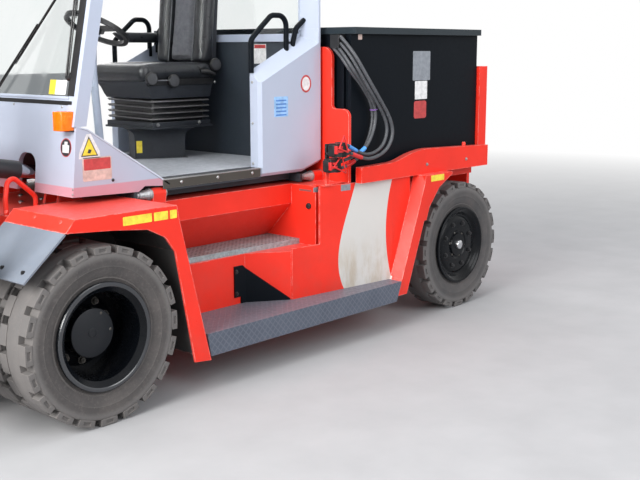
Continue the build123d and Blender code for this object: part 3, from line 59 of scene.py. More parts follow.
# Millimetres, x from the front axle
REAR_AXLE = -2890
WHEEL_Z = 415
FRONT_HUB = (0, 0, WHEEL_Z)
REAR_HUB = (REAR_AXLE, 0, WHEEL_Z)
TYRE_WIDTH = 210
FRONT_TYRE_FACES = (1025, 785)
REAR_TYRE_FACE = 956
FENDER_SIDE = 1025
REAR_PANEL_SIDE = 1000
BATTERY_SIDE = 870
CAB_SIDE = 680
AHEAD, LEFT, UP = (1, 0, 0), (0, 1, 0), (0, 0, 1)


def at(x, y, z):
    """Point in metres from millimetres, with x taken from the front axle."""
    return Vector((FRONT_AXLE_X + x / 1000, y / 1000, z / 1000))


# Camera at the photograph's angle
CAMERA_PLACE = (3.449, 4.685, 1.682)
CAMERA_WAY = (-0.7294, -0.6590, -0.1841)
CAMERA_ROLL = -0.07
camera_data = bpy.data.cameras.new("camera")
camera_data.lens = 57.2
camera_data.sensor_width = 36
camera = bpy.data.objects.new("camera", camera_data)
bpy.context.scene.collection.objects.link(camera)
turn = Vector(CAMERA_WAY).normalized().to_track_quat("-Z", "Y").to_matrix().to_4x4()
camera.matrix_world = (Matrix.Translation(CAMERA_PLACE) @ turn
                       @ Matrix.Rotation(math.radians(CAMERA_ROLL), 4, "Z"))
bpy.context.scene.camera = camera


# Materials
def node(tree, kind, inputs=None, **settings):
    """One shader node, its settings and its inputs, each a value or another node's socket."""
    made = tree.nodes.new(kind)
    for key, value in settings.items():
        setattr(made, key, value)
    for key, value in (inputs or {}).items():
        if isinstance(value, bpy.types.NodeSocket):
            tree.links.new(value, made.inputs[key])
        else:
            made.inputs[key].default_value = value
    return made


def material(name, rough=0.5, metallic=0, **sockets):
    """A new material, its tree and its shader."""
    made = bpy.data.materials.new(name)
    made.use_nodes = True
    shader = made.node_tree.nodes["Principled BSDF"]
    shader.inputs["Roughness"].default_value = rough
    shader.inputs["Metallic"].default_value = metallic
    for key, value in sockets.items():
        shader.inputs[key.replace("_", " ")].default_value = value
    return made, made.node_tree, shader


def coords(tree, scale=(1, 1, 1)):
    """Texture coordinates in the piece's own metres."""
    place = node(tree, "ShaderNodeTexCoord").outputs["Object"]
    return node(tree, "ShaderNodeMapping", {"Vector": place, "Scale": scale}).outputs[0]


def noise(tree, vector, scale, detail=4, rough=0.55):
    return node(tree, "ShaderNodeTexNoise", {"Vector": vector, "Scale": scale, "Detail": detail,
                                             "Roughness": rough}).outputs["Fac"]


def spread(tree, value, low, high, to_low=0, to_high=1):
    """A value mapped from one range to another, held inside it."""
    return node(tree, "ShaderNodeMapRange", {"Value": value, "From Min": low, "From Max": high,
                                             "To Min": to_low, "To Max": to_high}).outputs["Result"]


def patches(tree, vector, grain, *levels):
    """Noise of a scale, detail and roughness, spread between levels."""
    return spread(tree, noise(tree, vector, *grain), *levels)


def blended(tree, factor, a, b):
    """Two colours mixed by a factor."""
    made = node(tree, "ShaderNodeMix", data_type="RGBA")
    for index, value in ((0, factor), (6, a), (7, b)):
        if isinstance(value, bpy.types.NodeSocket):
            tree.links.new(value, made.inputs[index])
        else:
            made.inputs[index].default_value = value if index == 0 else (*value, 1)
    return made.outputs[2]


def maths(tree, kind, a, b=0.5):
    return node(tree, "ShaderNodeMath", {0: a, 1: b}, operation=kind).outputs[0]


def times(tree, a, b):
    return maths(tree, "MULTIPLY", a, b)


def plus(tree, a, b):
    return maths(tree, "ADD", a, b)


def edges(tree, radius):
    """1 along the piece's edges and 0 on its flats."""
    soft = node(tree, "ShaderNodeBevel", {"Radius": radius}, samples=4).outputs[0]
    plain = node(tree, "ShaderNodeNewGeometry").outputs["Normal"]
    dot = node(tree, "ShaderNodeVectorMath", {0: soft, 1: plain}, operation="DOT_PRODUCT").outputs["Value"]
    return spread(tree, dot, 0.995, 0.90)


def axes(tree):
    """The three coordinates of a point of the piece, in metres."""
    place = node(tree, "ShaderNodeTexCoord").outputs["Object"]
    return node(tree, "ShaderNodeSeparateXYZ", {0: place}).outputs[0:3]


def facing(tree):
    """The three parts of the face's direction."""
    normal = node(tree, "ShaderNodeNewGeometry").outputs["Normal"]
    return node(tree, "ShaderNodeSeparateXYZ", {0: normal}).outputs[0:3]


def up_facing(tree, low=0.6, high=0.95):
    return spread(tree, facing(tree)[2], low, high)


def low_down(tree, low, high):
    """1 under the lower height and 0 over the higher one."""
    return spread(tree, axes(tree)[2], high, low)


def wired(made, tree, shader, shade, rough, height, strength, distance):
    """The material with its colour, roughness and relief joined to the shader."""
    relief = node(tree, "ShaderNodeBump", {"Height": height, "Strength": strength, "Distance": distance})
    for socket, value in (("Base Color", shade), ("Roughness", rough), ("Normal", relief.outputs[0])):
        tree.links.new(value, shader.inputs[socket])
    return made


RED = (0.84, 0.034, 0.018)
GREY = (0.44, 0.49, 0.60)
WHITE = (0.60, 0.585, 0.56)
DUST = (0.42, 0.39, 0.35)
MUD = (0.16, 0.13, 0.11)
STAIN = (0.46, 0.38, 0.28)
# Near-black of the painted shade inside the wheel housings
HOUSING_SHADE = (0.040, 0.039, 0.039)
TREAD_DUST = (0.22, 0.21, 0.205)


def curve_in_height(tree, height, terms):
    """A polynomial of the height, highest power first."""
    value = times(tree, height, 0)
    for term in terms:
        value = plus(tree, times(tree, value, height), term)
    return value


def stripe(tree, shade):
    """White stripe up the side panel between two curved edges, with brown stains in its middle."""
    x, y, z = axes(tree)
    back = maths(tree, "SUBTRACT", x, FRONT_AXLE_X)
    front_edge = curve_in_height(tree, z, (1.3838, -3.2424, 2.1341, -2.1797))
    rear_edge = curve_in_height(tree, z, (-0.5405, 0.6649, -2.3423))
    between = times(tree, maths(tree, "LESS_THAN", back, front_edge),
                    maths(tree, "GREATER_THAN", back, rear_edge))
    aside = maths(tree, "ABSOLUTE", y)
    outer = times(tree, maths(tree, "GREATER_THAN", aside, 0.86), maths(tree, "LESS_THAN", aside, 0.935))
    stained = times(tree, spread(tree, z, 0.62, 0.42),
                    patches(tree, coords(tree, (1, 1, 0.25)), (14, 8, 0.7), 0.44, 0.62, 0, 0.70))
    return blended(tree, times(tree, between, outer), shade, blended(tree, stained, WHITE, STAIN))


def painted_red_reflection(tree, shade):
    """Painted reflection of the red fenders: a reddish band where the cab's panels turn under, over them."""
    return blended(tree, times(tree, low_down(tree, 1.046, 1.050), 0.6), shade, (0.62, 0.17, 0.20))


def painted_housing_shade(tree, shade, rear_end=0.20):
    """Painted shade inside the wheel housings: darkens what looks down, outwards or forwards over the tyres.
    """
    ahead, aside, up = facing(tree)
    x, y, z = axes(tree)
    ahead = times(tree, spread(tree, ahead, 0.2, 0.4), spread(tree, x, 0.90, 0.88))
    aside = spread(tree, maths(tree, "ABSOLUTE", aside), 0.5, 0.7)
    inner = maths(tree, "MAXIMUM", spread(tree, up, -0.15, -0.35), maths(tree, "MAXIMUM", ahead, aside))
    inside = times(tree, spread(tree, maths(tree, "ABSOLUTE", y), 1.018, 1.012),
                   spread(tree, z, 0.925, 0.915))
    inside = times(tree, inside, spread(tree, x, rear_end, rear_end + 0.01))
    return blended(tree, times(tree, inner, inside), shade, HOUSING_SHADE)


def painted_frame_shade(tree, shade):
    """The same painted shade on the frame's sides between the front wheels."""
    return painted_housing_shade(tree, shade, 0.36)


def painted(name, colour, rough=0.35, coat=0.25, dust=0.25, mud=0.35, edge_wear_and_highlight=0, worn=(0.25, 0.24, 0.23),
            tone=0.12, metallic=0, grain=140, dents=0, extra=None, gloss=0.3, rim=0.004):
    """Paint on metal: uneven tone, dust on what faces up, dirt low down, and worn edges, which on the red
    paint are also a painted highlight.
    """
    made, tree, shader = material(name, rough, metallic, Coat_Weight=coat, Coat_Roughness=0.15,
                                  Specular_IOR_Level=gloss)
    place = coords(tree)
    dark = tuple(c * (1 - tone) for c in colour)
    light = tuple(min(1, c * (1 + tone * 0.5)) for c in colour)
    shade = blended(tree, patches(tree, place, (2.3, 6), 0.3, 0.7), dark, light)
    if extra:
        shade = extra(tree, shade)
    speck = noise(tree, place, 38, 8, 0.7)
    if dust:
        lying = times(tree, up_facing(tree), spread(tree, speck, 0.35, 0.65, 0.4 * dust, dust))
        shade = blended(tree, lying, shade, DUST)
    if mud:
        cloud = patches(tree, place, (6, 8, 0.65), 0.42, 0.68, 0, mud)
        splash = times(tree, low_down(tree, 0.15, 0.75), cloud)
        shade = blended(tree, splash, shade, MUD)
    # Edge colour: worn paint, and on the red paint also a painted highlight.
    if edge_wear_and_highlight:
        chipped_and_highlit = times(tree, edges(tree, rim), patches(tree, place, (22, 8, 0.7), 0.40, 0.58, 0, edge_wear_and_highlight))
        shade = blended(tree, chipped_and_highlit, shade, worn)
    uneven = spread(tree, speck, 0.3, 0.7, max(0.05, rough - 0.08), rough + 0.12)
    return wired(made, tree, shader, shade, uneven, noise(tree, place, grain, 3), 0.08 + dents, 0.0006)


def moulded(name, colour, rough=0.6, grain=260, depth=0.3, dust=0.15, creases=0):
    """Moulded plastic, rubber or vinyl with a fine grain, and creases where it is soft."""
    made, tree, shader = material(name, rough)
    place = coords(tree)
    speck = noise(tree, place, 30, 8, 0.7)
    shade = blended(tree, spread(tree, speck, 0.35, 0.7), tuple(c * 0.8 for c in colour),
                    tuple(min(1, c * 1.25 + 0.004) for c in colour))
    if dust:
        lying = times(tree, up_facing(tree), spread(tree, speck, 0.4, 0.7, 0, dust))
        shade = blended(tree, lying, shade, DUST)
    height = node(tree, "ShaderNodeTexVoronoi", {"Vector": place, "Scale": grain}).outputs["Distance"]
    if creases:
        folds = noise(tree, coords(tree, (1, 0.35, 1)), 11, 5, 0.6)
        height = plus(tree, times(tree, height, 0.08), times(tree, folds, creases))
    uneven = spread(tree, speck, 0.3, 0.7, max(0.05, rough - 0.1), rough + 0.1)
    return wired(made, tree, shader, shade, uneven, height, depth, 0.006 if creases else 0.0008)


def tyre_rubber(name, low, high, dirt, axle_x):
    """Dusty solid rubber, paler on the tread and brownish round the sidewall."""
    made, tree, shader = material(name, 0.85)
    place = coords(tree)
    speck = noise(tree, place, 70, 6, 0.7)
    shade = blended(tree, patches(tree, place, (7, 8, 0.65), 0.35, 0.68), low, high)
    x, y, z = axes(tree)
    along, up = maths(tree, "SUBTRACT", x, axle_x), maths(tree, "SUBTRACT", z, WHEEL_Z / 1000)
    radius = maths(tree, "SQRT", plus(tree, times(tree, along, along), times(tree, up, up)))
    shade = blended(tree, spread(tree, radius, 0.345, 0.365, 0, 0.35), shade, TREAD_DUST)
    shade = blended(tree, spread(tree, speck, 0.50, 0.72, 0, 0.45), shade, dirt)
    shade = blended(tree, spread(tree, edges(tree, 0.006), 0.1, 0.9, 0, 0.55), shade, dirt)
    uneven = spread(tree, speck, 0.3, 0.7, 0.72, 0.95)
    return wired(made, tree, shader, shade, uneven, noise(tree, place, 160, 5, 0.7), 0.45, 0.0012)


def galvanised(name, tread=False):
    """Zinc with its spangle, dulled by dirt; a grating's has rows of raised rims round holes painted
    near-black, a painted shade.
    """
    made, tree, shader = material(name, 0.5, 0.25 if tread else 0.6)
    place = coords(tree)
    spangle = node(tree, "ShaderNodeTexVoronoi", {"Vector": place, "Scale": 90}).outputs["Color"]
    grey = node(tree, "ShaderNodeSeparateColor", {0: spangle}).outputs[0]
    dark, light = (0.36, 0.36, 0.37), (0.52, 0.53, 0.55)
    strength, distance = 0.15, 0.0005
    if tread:
        dark, light = (0.26, 0.32, 0.34), (0.38, 0.46, 0.48)
        strength, distance = 0.6, 0.002
    shade = blended(tree, grey, dark, light)
    shade = blended(tree, patches(tree, place, (12, 8, 0.7), 0.48, 0.66, 0, 0.55), shade, (0.20, 0.19, 0.17))
    height = noise(tree, place, 220, 3)
    if tread:
        cell = node(tree, "ShaderNodeTexVoronoi", {"Vector": coords(tree, (1, 1, 0.001)), "Scale": 34,
                                                   "Randomness": 0}).outputs["Distance"]
        # Holes painted near-black: painted shade for the view through the grating.
        hole_shade = times(tree, spread(tree, cell, 0.24, 0.20), up_facing(tree, 0.9, 0.99))
        shade = blended(tree, hole_shade, shade, (0.03, 0.03, 0.03))
        ring = spread(tree, maths(tree, "ABSOLUTE", maths(tree, "SUBTRACT", cell, 0.27)), 0.07, 0)
        height = plus(tree, times(tree, height, 0.1), ring)
    return wired(made, tree, shader, shade, spread(tree, grey, 0, 1, 0.38, 0.60), height, strength, distance)


def step_paint(name):
    """Slate paint over chequer plate, worn pale on its raised diamonds and its edges."""
    made, tree, shader = material(name, 0.45, 0, Specular_IOR_Level=0.3)
    place = coords(tree)
    bands = [node(tree, "ShaderNodeTexWave", {"Vector": coords(tree, (way, 1, 1)), "Scale": 16},
                  bands_direction="DIAGONAL").outputs["Fac"] for way in (1, -1)]
    diamond = spread(tree, maths(tree, "MAXIMUM", *bands), 0.86, 0.97)
    shade = blended(tree, patches(tree, place, (5, 6), 0.3, 0.7), (0.070, 0.083, 0.112), (0.10, 0.115, 0.15))
    shade = blended(tree, times(tree, diamond, 0.35), shade, (0.19, 0.20, 0.24))
    shade = blended(tree, spread(tree, up_facing(tree), 0, 1, 0, 0.35), shade, (0.26, 0.23, 0.26))
    rust = times(tree, patches(tree, place, (17, 8, 0.7), 0.56, 0.70, 0, 0.6), edges(tree, 0.012))
    shade = blended(tree, rust, shade, (0.30, 0.19, 0.14))
    uneven = patches(tree, place, (40, 6), 0.3, 0.7, 0.34, 0.6)
    return wired(made, tree, shader, shade, uneven, diamond, 0.35, 0.0015)


def glazing(name):
    """Clear glass with faint smears."""
    made, tree, shader = material(name, 0.02, 0, Transmission_Weight=1, IOR=1.45, Alpha=1)
    place = coords(tree)
    tint = blended(tree, patches(tree, place, (3,), 0.3, 0.7), (0.86, 0.91, 0.90), (0.93, 0.95, 0.95))
    tree.links.new(tint, shader.inputs["Base Color"])
    tree.links.new(patches(tree, place, (9, 6, 0.7), 0.45, 0.75, 0.01, 0.08), shader.inputs["Roughness"])
    return made


# Red paint's pale pink edges: partly worn paint, partly a painted highlight along the edges.
def red_paint(name, extra=None):
    return painted(name, RED, 0.34, 0.06, 0.18, 0.20, 0.75, (0.86, 0.40, 0.36), gloss=0.22, rim=0.007,
                   extra=extra)


def grey_paint(name, extra=None):
    return painted(name, GREY, 0.40, 0.05, 0.08, 0, 0.3, (0.80, 0.84, 0.92), tone=0.06, extra=extra)


def label(name, colour, rough=0.4):
    return moulded(name, colour, rough, 500, 0.04, 0)


def plastic(name, colour, rough=0.4):
    return moulded(name, colour, rough, 300, 0.1, 0)


finish = {
    "body_paint": red_paint("red paint"),
    "cab_paint": grey_paint("grey paint"),
    "battery_paint": painted("black paint", (0.004, 0.006, 0.009), 0.42, 0, 0.10, 0, 0.2, (0.06, 0.06, 0.065),
                             gloss=0.08),
    "rim_paint": painted("rim paint", (0.004, 0.005, 0.007), 0.22, 0.12, 0, 0, 0, tone=0.5, gloss=0.12),
    "mast_paint": painted("mast paint", (0.035, 0.037, 0.040), 0.40, 0.1, 0.2, 0.3, 0.4),
    "step_steel": step_paint("step paint"),
    "galvanised": galvanised("galvanised steel", True),
    "cast": painted("cast metal", (0.030, 0.028, 0.026), 0.7, 0, 0.2, 0.5, 0, grain=90, dents=0.4, tone=0.4),
    "chrome": painted("hard chrome", (0.62, 0.63, 0.65), 0.12, 0, 0, 0, 0, metallic=1),
    "tyre": tyre_rubber("tyre rubber", (0.052, 0.048, 0.048), (0.085, 0.076, 0.073), (0.17, 0.155, 0.145),
                        FRONT_AXLE_X),
    "rubber": moulded("grey rubber", (0.16, 0.165, 0.17), 0.6, 200, 0.3),
    "interior": moulded("dark plastic", (0.022, 0.026, 0.034), 0.62, 300, 0.35),
    "fabric": moulded("seat vinyl", (0.018, 0.020, 0.024), 0.34, 500, 0.5, 0.05, creases=1),
    "glass": glazing("clear glass"),
    "lamp": moulded("amber lens", (0.90, 0.17, 0.002), 0.22, 60, 0.2, 0),
    "black_plastic": moulded("black plastic", (0.012, 0.012, 0.013), 0.4, 280, 0.25),
    "cable": moulded("cable jacket", (0.060, 0.064, 0.072), 0.5, 180, 0.1, 0.1),
}
red, black = finish["body_paint"], finish["black_plastic"]
rear_tyre_rubber = tyre_rubber("rear tyre rubber", (0.060, 0.058, 0.060), (0.095, 0.086, 0.084),
                               (0.12, 0.11, 0.105), REAR_AXLE_X)
zinc = galvanised("zinc plate")
# Pale paint for a strip along the cab's folded edge: a painted highlight.
fold_highlight_paint = painted("folded edge highlight paint", (0.60, 0.66, 0.76), 0.4, 0.05, 0, 0, 0)
lip_paint = painted("rim lip paint", (0.022, 0.025, 0.030), 0.16, 0.5, 0, 0, 0, tone=0.3, gloss=0.6)
hub_paint = painted("hub paint", (0.020, 0.022, 0.026), 0.45, 0, 0, 0, 0.2, (0.08, 0.08, 0.08), gloss=0.2)
steel = painted("bare steel", (0.42, 0.42, 0.42), 0.34, 0, 0.1, 0, 0, metallic=0.9, tone=0.25)
dull_steel = painted("dull steel", (0.085, 0.078, 0.068), 0.42, 0, 0.15, 0, 0.3, (0.6, 0.6, 0.6),
                     metallic=0.5)
black_screw = painted("black screw", (0.02, 0.02, 0.022), 0.3, 0.2, 0, 0, 0)
knob_grey = moulded("grey knob", (0.050, 0.052, 0.058), 0.5, 200, 0.2, 0)
# Lighter rubber for the tubes round the bellows' folds: a painted highlight along the folds.
bellows_rim_highlight = moulded("bellows rim highlight", (0.16, 0.155, 0.155), 0.45, 200, 0.2, 0.1)
cell_grey = moulded("cell cover", (0.10, 0.105, 0.11), 0.5, 200, 0.2, 0.2)
seam = moulded("light seam", (0.16, 0.165, 0.18), 0.5, 300, 0.2, 0)
pale_floor = moulded("cab mat", (0.39, 0.41, 0.45), 0.7, 240, 0.4, 0.2)
seat_grey = moulded("grey cloth", (0.135, 0.137, 0.152), 0.85, 900, 0.5, 0.05)
label_white = label("white label", (0.74, 0.74, 0.74))
label_yellow = label("yellow label", (0.88, 0.66, 0.05))
label_red = label("red label", (0.48, 0.05, 0.05))
label_grey = label("silver label", (0.24, 0.26, 0.29), 0.35)
label_blue = label("pale blue label", (0.30, 0.52, 0.82))
label_line = label("blue label lines", (0.06, 0.20, 0.55))
label_dark = label("dark label", (0.03, 0.03, 0.035))
label_beige = label("beige label", (0.60, 0.45, 0.40))
red_plastic = plastic("red plastic", (0.62, 0.02, 0.02), 0.35)
blue_plastic = plastic("blue plastic", (0.08, 0.32, 0.78))
purple_plastic = plastic("purple tie", (0.22, 0.10, 0.36))


def give_look(piece, look):
    for index in range(len(piece.material_slots)):
        piece.material_slots[index].material = look


for part in frame["record"]["subparts"]:
    give_look(nodes[part["node"]], finish[part["material_slot"]])
for name, look in (
    ("side_panels", red_paint("striped red paint", stripe)),
    # Fender and frame paint carry painted shade inside the wheel housings.
    ("front_fenders", red_paint("fender paint", painted_housing_shade)),
    ("chassis_frame", red_paint("frame paint", painted_frame_shade)),
    # The cab front's paint carries a painted reflection of the red fenders along its foot.
    ("cab_front", grey_paint("cab front paint", painted_red_reflection)),
    ("cab_mounts", zinc),
    ("battery_lid", painted("lid paint", (0.018, 0.027, 0.034), 0.38, 0.1, 0.3, 0, 0.3, (0.14, 0.15, 0.16),
                            gloss=0.25)),
    ("front_flaps", painted("flap paint", (0.17, 0.20, 0.25), 0.5, 0, 0.2, 0.2, 0.5, (0.34, 0.28, 0.26),
                            tone=0.2)),
    ("cab_rear_wall", painted("wall paint", (0.044, 0.055, 0.070), 0.42, 0.1, 0.1, 0, 0.1, (0.10, 0.10, 0.11),
                              tone=0.3)),
):
    give_look(nodes[name], look)


# Battery cables: each hangs from its gland and runs down into its connector
CABLE_DIAMETER = 0.020
cable_routes = [
    [(-1840, 812, 1754), (-1825, 912, 1682), (-1901, 958, 1534), (-2014, 966, 1397), (-2119, 961, 1283),
     (-2149, 961, 1184), (-2084, 961, 1094), (-1954, 961, 1057), (-1850, 961, 1070), (-1751, 961, 1108)],
    [(-1840, 812, 1716), (-1830, 886, 1664), (-1880, 938, 1534), (-1983, 946, 1412), (-2090, 939, 1298),
     (-2122, 939, 1208), (-2074, 939, 1117), (-1963, 939, 1078), (-1858, 939, 1096), (-1751, 939, 1150)],
    [(-1840, 801, 1690), (-1828, 860, 1642), (-1842, 907, 1568), (-1939, 914, 1470), (-2018, 917, 1370),
     (-2037, 917, 1288), (-2006, 917, 1196), (-1943, 917, 1116), (-1842, 917, 1078), (-1751, 917, 1062)],
    [(-1840, 762, 1690), (-1829, 828, 1642), (-1835, 884, 1568), (-1930, 893, 1481), (-2017, 895, 1381),
     (-2037, 895, 1287), (-2006, 895, 1177), (-1925, 895, 1072), (-1830, 895, 1030), (-1751, 895, 1016)],
]
cable_lines = []
for number, route in enumerate(cable_routes, 1):
    line = bpy.data.curves.new(f"battery_cable_{number}", "CURVE")
    line.dimensions = "3D"
    line.bevel_depth = CABLE_DIAMETER / 2
    line.bevel_resolution = 4
    line.resolution_u = 12
    line.use_fill_caps = True
    spline = line.splines.new("NURBS")
    spline.points.add(len(route) - 1)
    for point, place in zip(spline.points, route):
        point.co = (*at(*place), 1)
    spline.order_u = 3
    spline.use_endpoint_u = True
    piece = bpy.data.objects.new(f"battery_cable_{number}", line)
    bpy.context.scene.collection.objects.link(piece)
    line.materials.append(finish["cable"])
    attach(piece, "chassis")
    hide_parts(f"cable_{number}")
    cable_lines.append(piece)


def line_points(piece):
    """Points along a curve's own line, with its thickness left off."""
    line = piece.data.copy()
    line.bevel_depth = 0
    thin = bpy.data.objects.new("line", line)
    bare = bpy.data.meshes.new_from_object(thin)
    points = [vertex.co.copy() for vertex in bare.vertices]
    bpy.data.objects.remove(thin)
    bpy.data.curves.remove(line)
    bpy.data.meshes.remove(bare)
    return points


def block(x1, x2, y1, y2, z):
    """Four corners of a level ring."""
    return [(x1, y1, z), (x2, y1, z), (x2, y2, z), (x1, y2, z)]


# Mesh pieces
class Pile:
    """Solids gathered into one mesh that rides on one body. Millimetres, x from the front axle."""

    def __init__(self, name, slot, look=None, body="chassis", smooth=38, bevel=0, mirrored=False):
        self.name, self.body, self.slot = name, body, slot
        self.looks = [look or finish[slot]]
        self.smooth, self.bevel, self.mirrored = smooth, bevel, mirrored
        self.index = 0
        self.bm = bmesh.new()

    def use(self, look):
        """Give the faces made from here on another look."""
        if look not in self.looks:
            self.looks.append(look)
        self.index = self.looks.index(look)

    def faces(self, rows):
        for row in rows:
            self.bm.faces.new(row).material_index = self.index

    def corners(self, rings):
        side = -1 if self.mirrored else 1
        return [[self.bm.verts.new(at(x, y * side, z)) for x, y, z in ring] for ring in rings]

    def solid(self, rings, loop=False):
        """Skin through rings of points, with both ends closed or joined to each other."""
        rows = self.corners(rings)
        count = len(rows[0])
        for a, b in list(zip(rows, rows[1:])) + ([(rows[-1], rows[0])] if loop else []):
            self.faces([(a[i], a[(i + 1) % count], b[(i + 1) % count], b[i]) for i in range(count)])
        if not loop:
            self.faces([list(reversed(rows[0])), rows[-1]])

    def plate(self, outline, axis, low, high):
        """Outline drawn across an axis and thickened along it."""
        order = {"X": (2, 0, 1), "Y": (0, 2, 1), "Z": (0, 1, 2)}[axis]
        self.solid([[tuple((a, b, c)[i] for i in order) for a, b in outline] for c in (low, high)])

    def box(self, low, high):
        self.solid([block(low[0], high[0], low[1], high[1], z) for z in (low[2], high[2])])

    def turned(self, profile, place, way, steps=32, loop=False):
        """Profile of radius and height turned round a line."""
        matrix = Vector(way).to_track_quat("Z", "Y").to_matrix()
        angles = [2 * math.pi * step / steps for step in range(steps)]
        profile = [(max(radius, 0.02), height) for radius, height in profile]
        self.solid([[Vector(place) + matrix @ Vector((radius * math.cos(a), radius * math.sin(a), height))
                     for a in angles] for radius, height in profile], loop)

    def bolt(self, place, way, size=9, height=7):
        """Hexagon head on a washer, with its thread's end."""
        washer = 1.6
        top, end, tip = washer + height, washer + height * 1.25, washer + height * 1.4
        self.turned([(size * 1.35, 0), (size * 1.35, washer)], place, way, 20)
        self.turned([(size, washer), (size, top - 1.5), (size * 0.9, top)], place, way, 6)
        self.turned([(size * 0.5, top - 0.5), (size * 0.5, end), (size * 0.4, tip)], place, way, 14)

    def dome(self, place, way, size=8):
        """Low round head of a cap screw or a rivet."""
        shape = ((1, 0), (1, 0.25), (0.8, 0.5), (0.45, 0.65), (0, 0.7))
        self.turned([(size * wide, size * high) for wide, high in shape], place, way, 18)

    def tube(self, points, radius, steps=12):
        """Round bar through points, with one radius or a list of them."""
        points = [Vector(p) for p in points]
        sizes = radius if isinstance(radius, list) else [radius] * len(points)
        rings = []
        side = (points[1] - points[0]).normalized().orthogonal().normalized()
        for index, (point, size) in enumerate(zip(points, sizes)):
            before = points[max(index - 1, 0)]
            after = points[min(index + 1, len(points) - 1)]
            way = (after - before).normalized()
            side = (side - way * side.dot(way)).normalized()
            other = way.cross(side)
            rings.append([tuple(point + size * (math.cos(a) * side + math.sin(a) * other))
                          for a in (2 * math.pi * step / steps for step in range(steps))])
        self.solid(rings)

    def done(self, *replaced):
        """Finish the mesh and say what it rides on, looks like and replaces."""
        bmesh.ops.recalc_face_normals(self.bm, faces=self.bm.faces)
        mesh = bpy.data.meshes.new(self.name)
        self.bm.to_mesh(mesh)
        self.bm.free()
        for look in self.looks:
            mesh.materials.append(look)
        piece = bpy.data.objects.new(self.name, mesh)
        bpy.context.scene.collection.objects.link(piece)
        if self.bevel:
            rounded = piece.modifiers.new("edges", "BEVEL")
            rounded.width = self.bevel / 1000
            rounded.segments = 2
            rounded.limit_method = "ANGLE"
            rounded.angle_limit = math.radians(35)
            rounded.harden_normals = False
        mesh.shade_smooth()
        mesh.set_sharp_from_angle(angle=math.radians(self.smooth))
        if self.body:
            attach(piece, self.body)
        if replaced:
            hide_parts(*replaced)
        return piece


def both_sides(pile, make):
    """Make the same solids on the left and, mirrored, on the right."""
    for mirrored in (False, True):
        pile.mirrored = mirrored
        make(pile)
    pile.mirrored = False


def round_hub(hub, y, radius, first, step, count):
    """Places spaced evenly round a wheel's hub."""
    for index in range(count):
        angle = math.radians(first + step * index)
        yield hub[0] + radius * math.cos(angle), y, hub[2] + radius * math.sin(angle)


# Tyres: rounded carcass, ribbed sidewall, and lugs with a pocket in each outer face
LUGS = 20
LUG_TOP = 414.6
half_wall = [(238.5, 27), (250, 24), (262, 21.5), (267, 17.5), (272, 19), (279, 15), (300, 9.5), (318, 6),
             (321, 4.2), (325, 5), (345, 2.2), (362, 1), (372, 0.6), (379, 3), (382, 9), (383, 56), (398, 58),
             (411, 60), (414.5, 68)]
wall = half_wall + [(radius, TYRE_WIDTH - depth) for radius, depth in reversed(half_wall)]


def lug(pile, centre, face_y, inward, angle, worn):
    """One shoulder block of a tyre, with a pocket sunk in the side that shows."""
    top = LUG_TOP - worn * random.random()
    lean = 3 + worn * random.random()

    def spot(across, radius, depth):
        x = math.cos(angle) * radius - math.sin(angle) * across
        z = math.sin(angle) * radius + math.cos(angle) * across
        return (centre + x, face_y + inward * depth, WHEEL_Z + z)

    def crown(across):
        return math.sqrt(top ** 2 - across ** 2)

    widths = (-46, -22, 22, 46)
    roots = (-43, -22, 22, 43)
    sink = 7
    fr, ft, br, bt, lo, hi, dl, dh = pile.corners([
        [spot(a, 379, 0.4) for a in roots],
        [spot(a, crown(a), lean) for a in widths],
        [spot(a, 380, 58) for a in roots],
        [spot(a, crown(a), 58.5) for a in widths],
        [spot(a, 388, 1) for a in (-20, 20)],
        [spot(a, 403.5, 2.2) for a in (-20, 20)],
        [spot(a, 389, 1 + sink) for a in (-18.5, 18.5)],
        [spot(a, 402.5, 2.2 + sink) for a in (-18.5, 18.5)],
    ])
    # Front root and top, back root and top, then the pocket's mouth and its floor
    pile.faces([
        (fr[0], fr[1], lo[0], hi[0], ft[1], ft[0]), (fr[3], ft[3], ft[2], hi[1], lo[1], fr[2]),
        (fr[1], fr[2], lo[1], lo[0]), (hi[0], hi[1], ft[2], ft[1]),
        (lo[0], lo[1], dl[1], dl[0]), (lo[1], hi[1], dh[1], dl[1]), (hi[1], hi[0], dh[0], dh[1]),
        (hi[0], lo[0], dl[0], dh[0]), (dl[0], dl[1], dh[1], dh[0]),
        (ft[0], ft[1], bt[1], bt[0]), (ft[1], ft[2], bt[2], bt[1]), (ft[2], ft[3], bt[3], bt[2]),
        (fr[0], ft[0], bt[0], br[0]), (fr[3], br[3], bt[3], ft[3]),
        (br[0], bt[0], bt[1], br[1]), (br[1], bt[1], bt[2], br[2]), (br[2], bt[2], bt[3], br[3]),
        (fr[0], br[0], br[1], fr[1]), (fr[1], br[1], br[2], fr[2]), (fr[2], br[2], br[3], fr[3]),
    ])


def tyres(hand, end, centre, outer_faces, look, worn, replaced):
    """All tyres of one wheel in two pieces: the carcasses and the lugs."""
    shared = {"body": f"{end}_wheel_{hand}", "mirrored": hand == "right"}
    carcass = Pile(f"{end}_tyre_carcass_{hand}", "tyre", look, smooth=30, **shared)
    lugs = Pile(f"{end}_tyre_lugs_{hand}", "tyre", look, bevel=2.6, **shared)
    for outer in outer_faces:
        carcass.turned([(radius, -depth) for radius, depth in wall], (centre, outer, WHEEL_Z), LEFT, 96, True)
        for index in range(LUGS):
            angle = 2 * math.pi * index / LUGS
            lug(lugs, centre, outer, -1, angle, worn)
            lug(lugs, centre, outer - TYRE_WIDTH, 1, angle + math.pi / LUGS, worn)
    carcass.done(replaced)
    lugs.done(replaced)


for hand in ("left", "right"):
    tyres(hand, "front", 0, FRONT_TYRE_FACES, finish["tyre"], 1.5, f"front_tyres_{hand}")
    tyres(hand, "rear", REAR_AXLE, (REAR_TYRE_FACE,), rear_tyre_rubber, 5, f"rear_tyre_{hand}")

